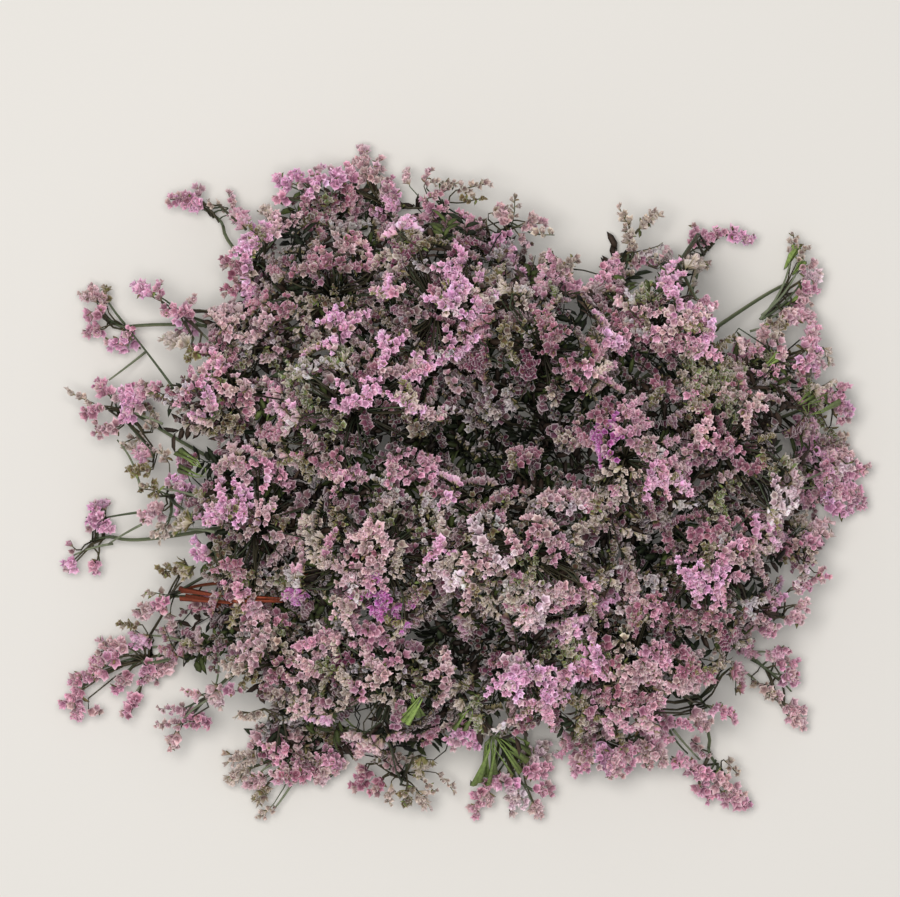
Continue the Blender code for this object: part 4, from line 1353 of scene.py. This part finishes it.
def grow_stem(stem, number, rng):
    heap = Heap()
    for path, thick, tint in ROUTES[stem]:
        steps = len(path)
        radii = np.linspace(thick, STEM_SIZES["tip"], steps) / 2 / (1 + WING_DEPTH * 0.5)
        across = sideways(unit(path[-1] - path[0]), UP)
        skins = tubes(path[None], radii[None], WING_COLUMNS, across[None], WINGS, WING_DEPTH)
        angle = 2 * np.pi * np.arange(WING_COLUMNS) / WING_COLUMNS
        wing = np.concatenate([[0.0], np.tile(np.cos(WINGS * angle) * 0.5 + 0.5, steps), [0.0]])
        along = np.concatenate([[0.0], np.repeat(np.linspace(0, 1, steps), WING_COLUMNS), [1.0]])
        heap.add(skins, steps, WING_COLUMNS, STALK, tint[None] * rng.normal(1, 0.08), along, wing)
    twigs = rows(leafy, leafy["stem"] == number)
    if twigs["colour"]:
        grow_leafy_twigs(heap, dress(twigs, rng), rng)
    total = 0
    for table, funnel, columns in ((rows(loose, ~loose["plain"]), FUNNEL, 2 * PLEATS),
                                   (rows(loose, loose["plain"]), PLAIN_FUNNEL, 2 * PLEATS),
                                   (under, PLAIN_FUNNEL, PLEATS)):
        combs = rows(table, table["stem"] == number)
        if combs["colour"]:
            total += grow_combs(heap, dress(combs, rng), funnel, columns, rng)
    return heap, total


floret_total = 0
triangle_total = 0
for number, (stem, blooms) in enumerate(BLOOMS.items()):
    heap, total = grow_stem(stem, number, np.random.default_rng(100 + number))
    triangle_total += place_piece(heap.mesh(stem + "_skin", FINISHES, (LEAF, STALK)), stem + "_skin", stem)
    floret_total += total
    for bloom in blooms:
        heap, total = grow_head(bloom, np.random.default_rng(200 + HEADS.index(bloom)))
        triangle_total += place_piece(heap.mesh(bloom + "_florets", FINISHES, (LEAF, STALK)), bloom + "_florets", bloom)
        floret_total += total
print("florets:", floret_total, "triangles:", triangle_total)

# %% [markdown]
# ## Floor, light and camera
#
# A plain pale floor, one large soft light above and to the left, and a dim sky. The camera looks straight
# down through a long lens, as in the photograph.

# %% Floor, light and camera
CAMERA_HEIGHT = 2.4
PLAN_WIDTH = 450.0
VIEW_MIDDLE = np.array([-7.0, 17.75])
RIM_HEIGHT = 15.0

floor_mesh = bpy.data.meshes.new("floor")
reach = 6.0
floor_mesh.from_pydata([(-reach, -reach, 0), (reach, -reach, 0), (reach, reach, 0), (-reach, reach, 0)], [], [(0, 1, 2, 3)])
floor = bpy.data.objects.new("floor", floor_mesh)
bpy.context.scene.collection.objects.link(floor)
floor_finish, floor_tree, floor_shader = new_finish("pale floor", 0.9)
floor_shader.inputs["Base Color"].default_value = colour4(paint(226, 223, 218))
floor_mesh.materials.append(floor_finish)

world = bpy.data.worlds.new("studio")
world.use_nodes = True
world.node_tree.nodes["Background"].inputs["Color"].default_value = (0.95, 0.97, 1.0, 1.0)
world.node_tree.nodes["Background"].inputs["Strength"].default_value = 0.36
bpy.context.scene.world = world


def area_light(name, place, size, power, colour=(1, 1, 1)):
    data = bpy.data.lights.new(name, "AREA")
    data.size = size
    data.energy = power
    data.color = colour
    light = bpy.data.objects.new(name, data)
    light.location = place
    light.rotation_euler = Vector(place).to_track_quat("Z", "Y").to_euler()
    bpy.context.scene.collection.objects.link(light)
    return light


area_light("key", (-0.2, 0.1, 2.0), 0.9, 32, (1.0, 0.98, 0.95))

camera_data = bpy.data.cameras.new("camera")
camera_data.sensor_width = 36.0
camera_data.lens = 36.0 * (CAMERA_HEIGHT - RIM_HEIGHT * MM) / (PLAN_WIDTH * MM)
camera_data.clip_end = 50.0
camera = bpy.data.objects.new("camera", camera_data)
middle_of_view = (VIEW_MIDDLE + PLAN_SHIFT[:2]) * MM
camera.location = (*middle_of_view, CAMERA_HEIGHT)
bpy.context.scene.collection.objects.link(camera)
bpy.context.scene.camera = camera
bpy.context.scene.view_settings.view_transform = "Standard"
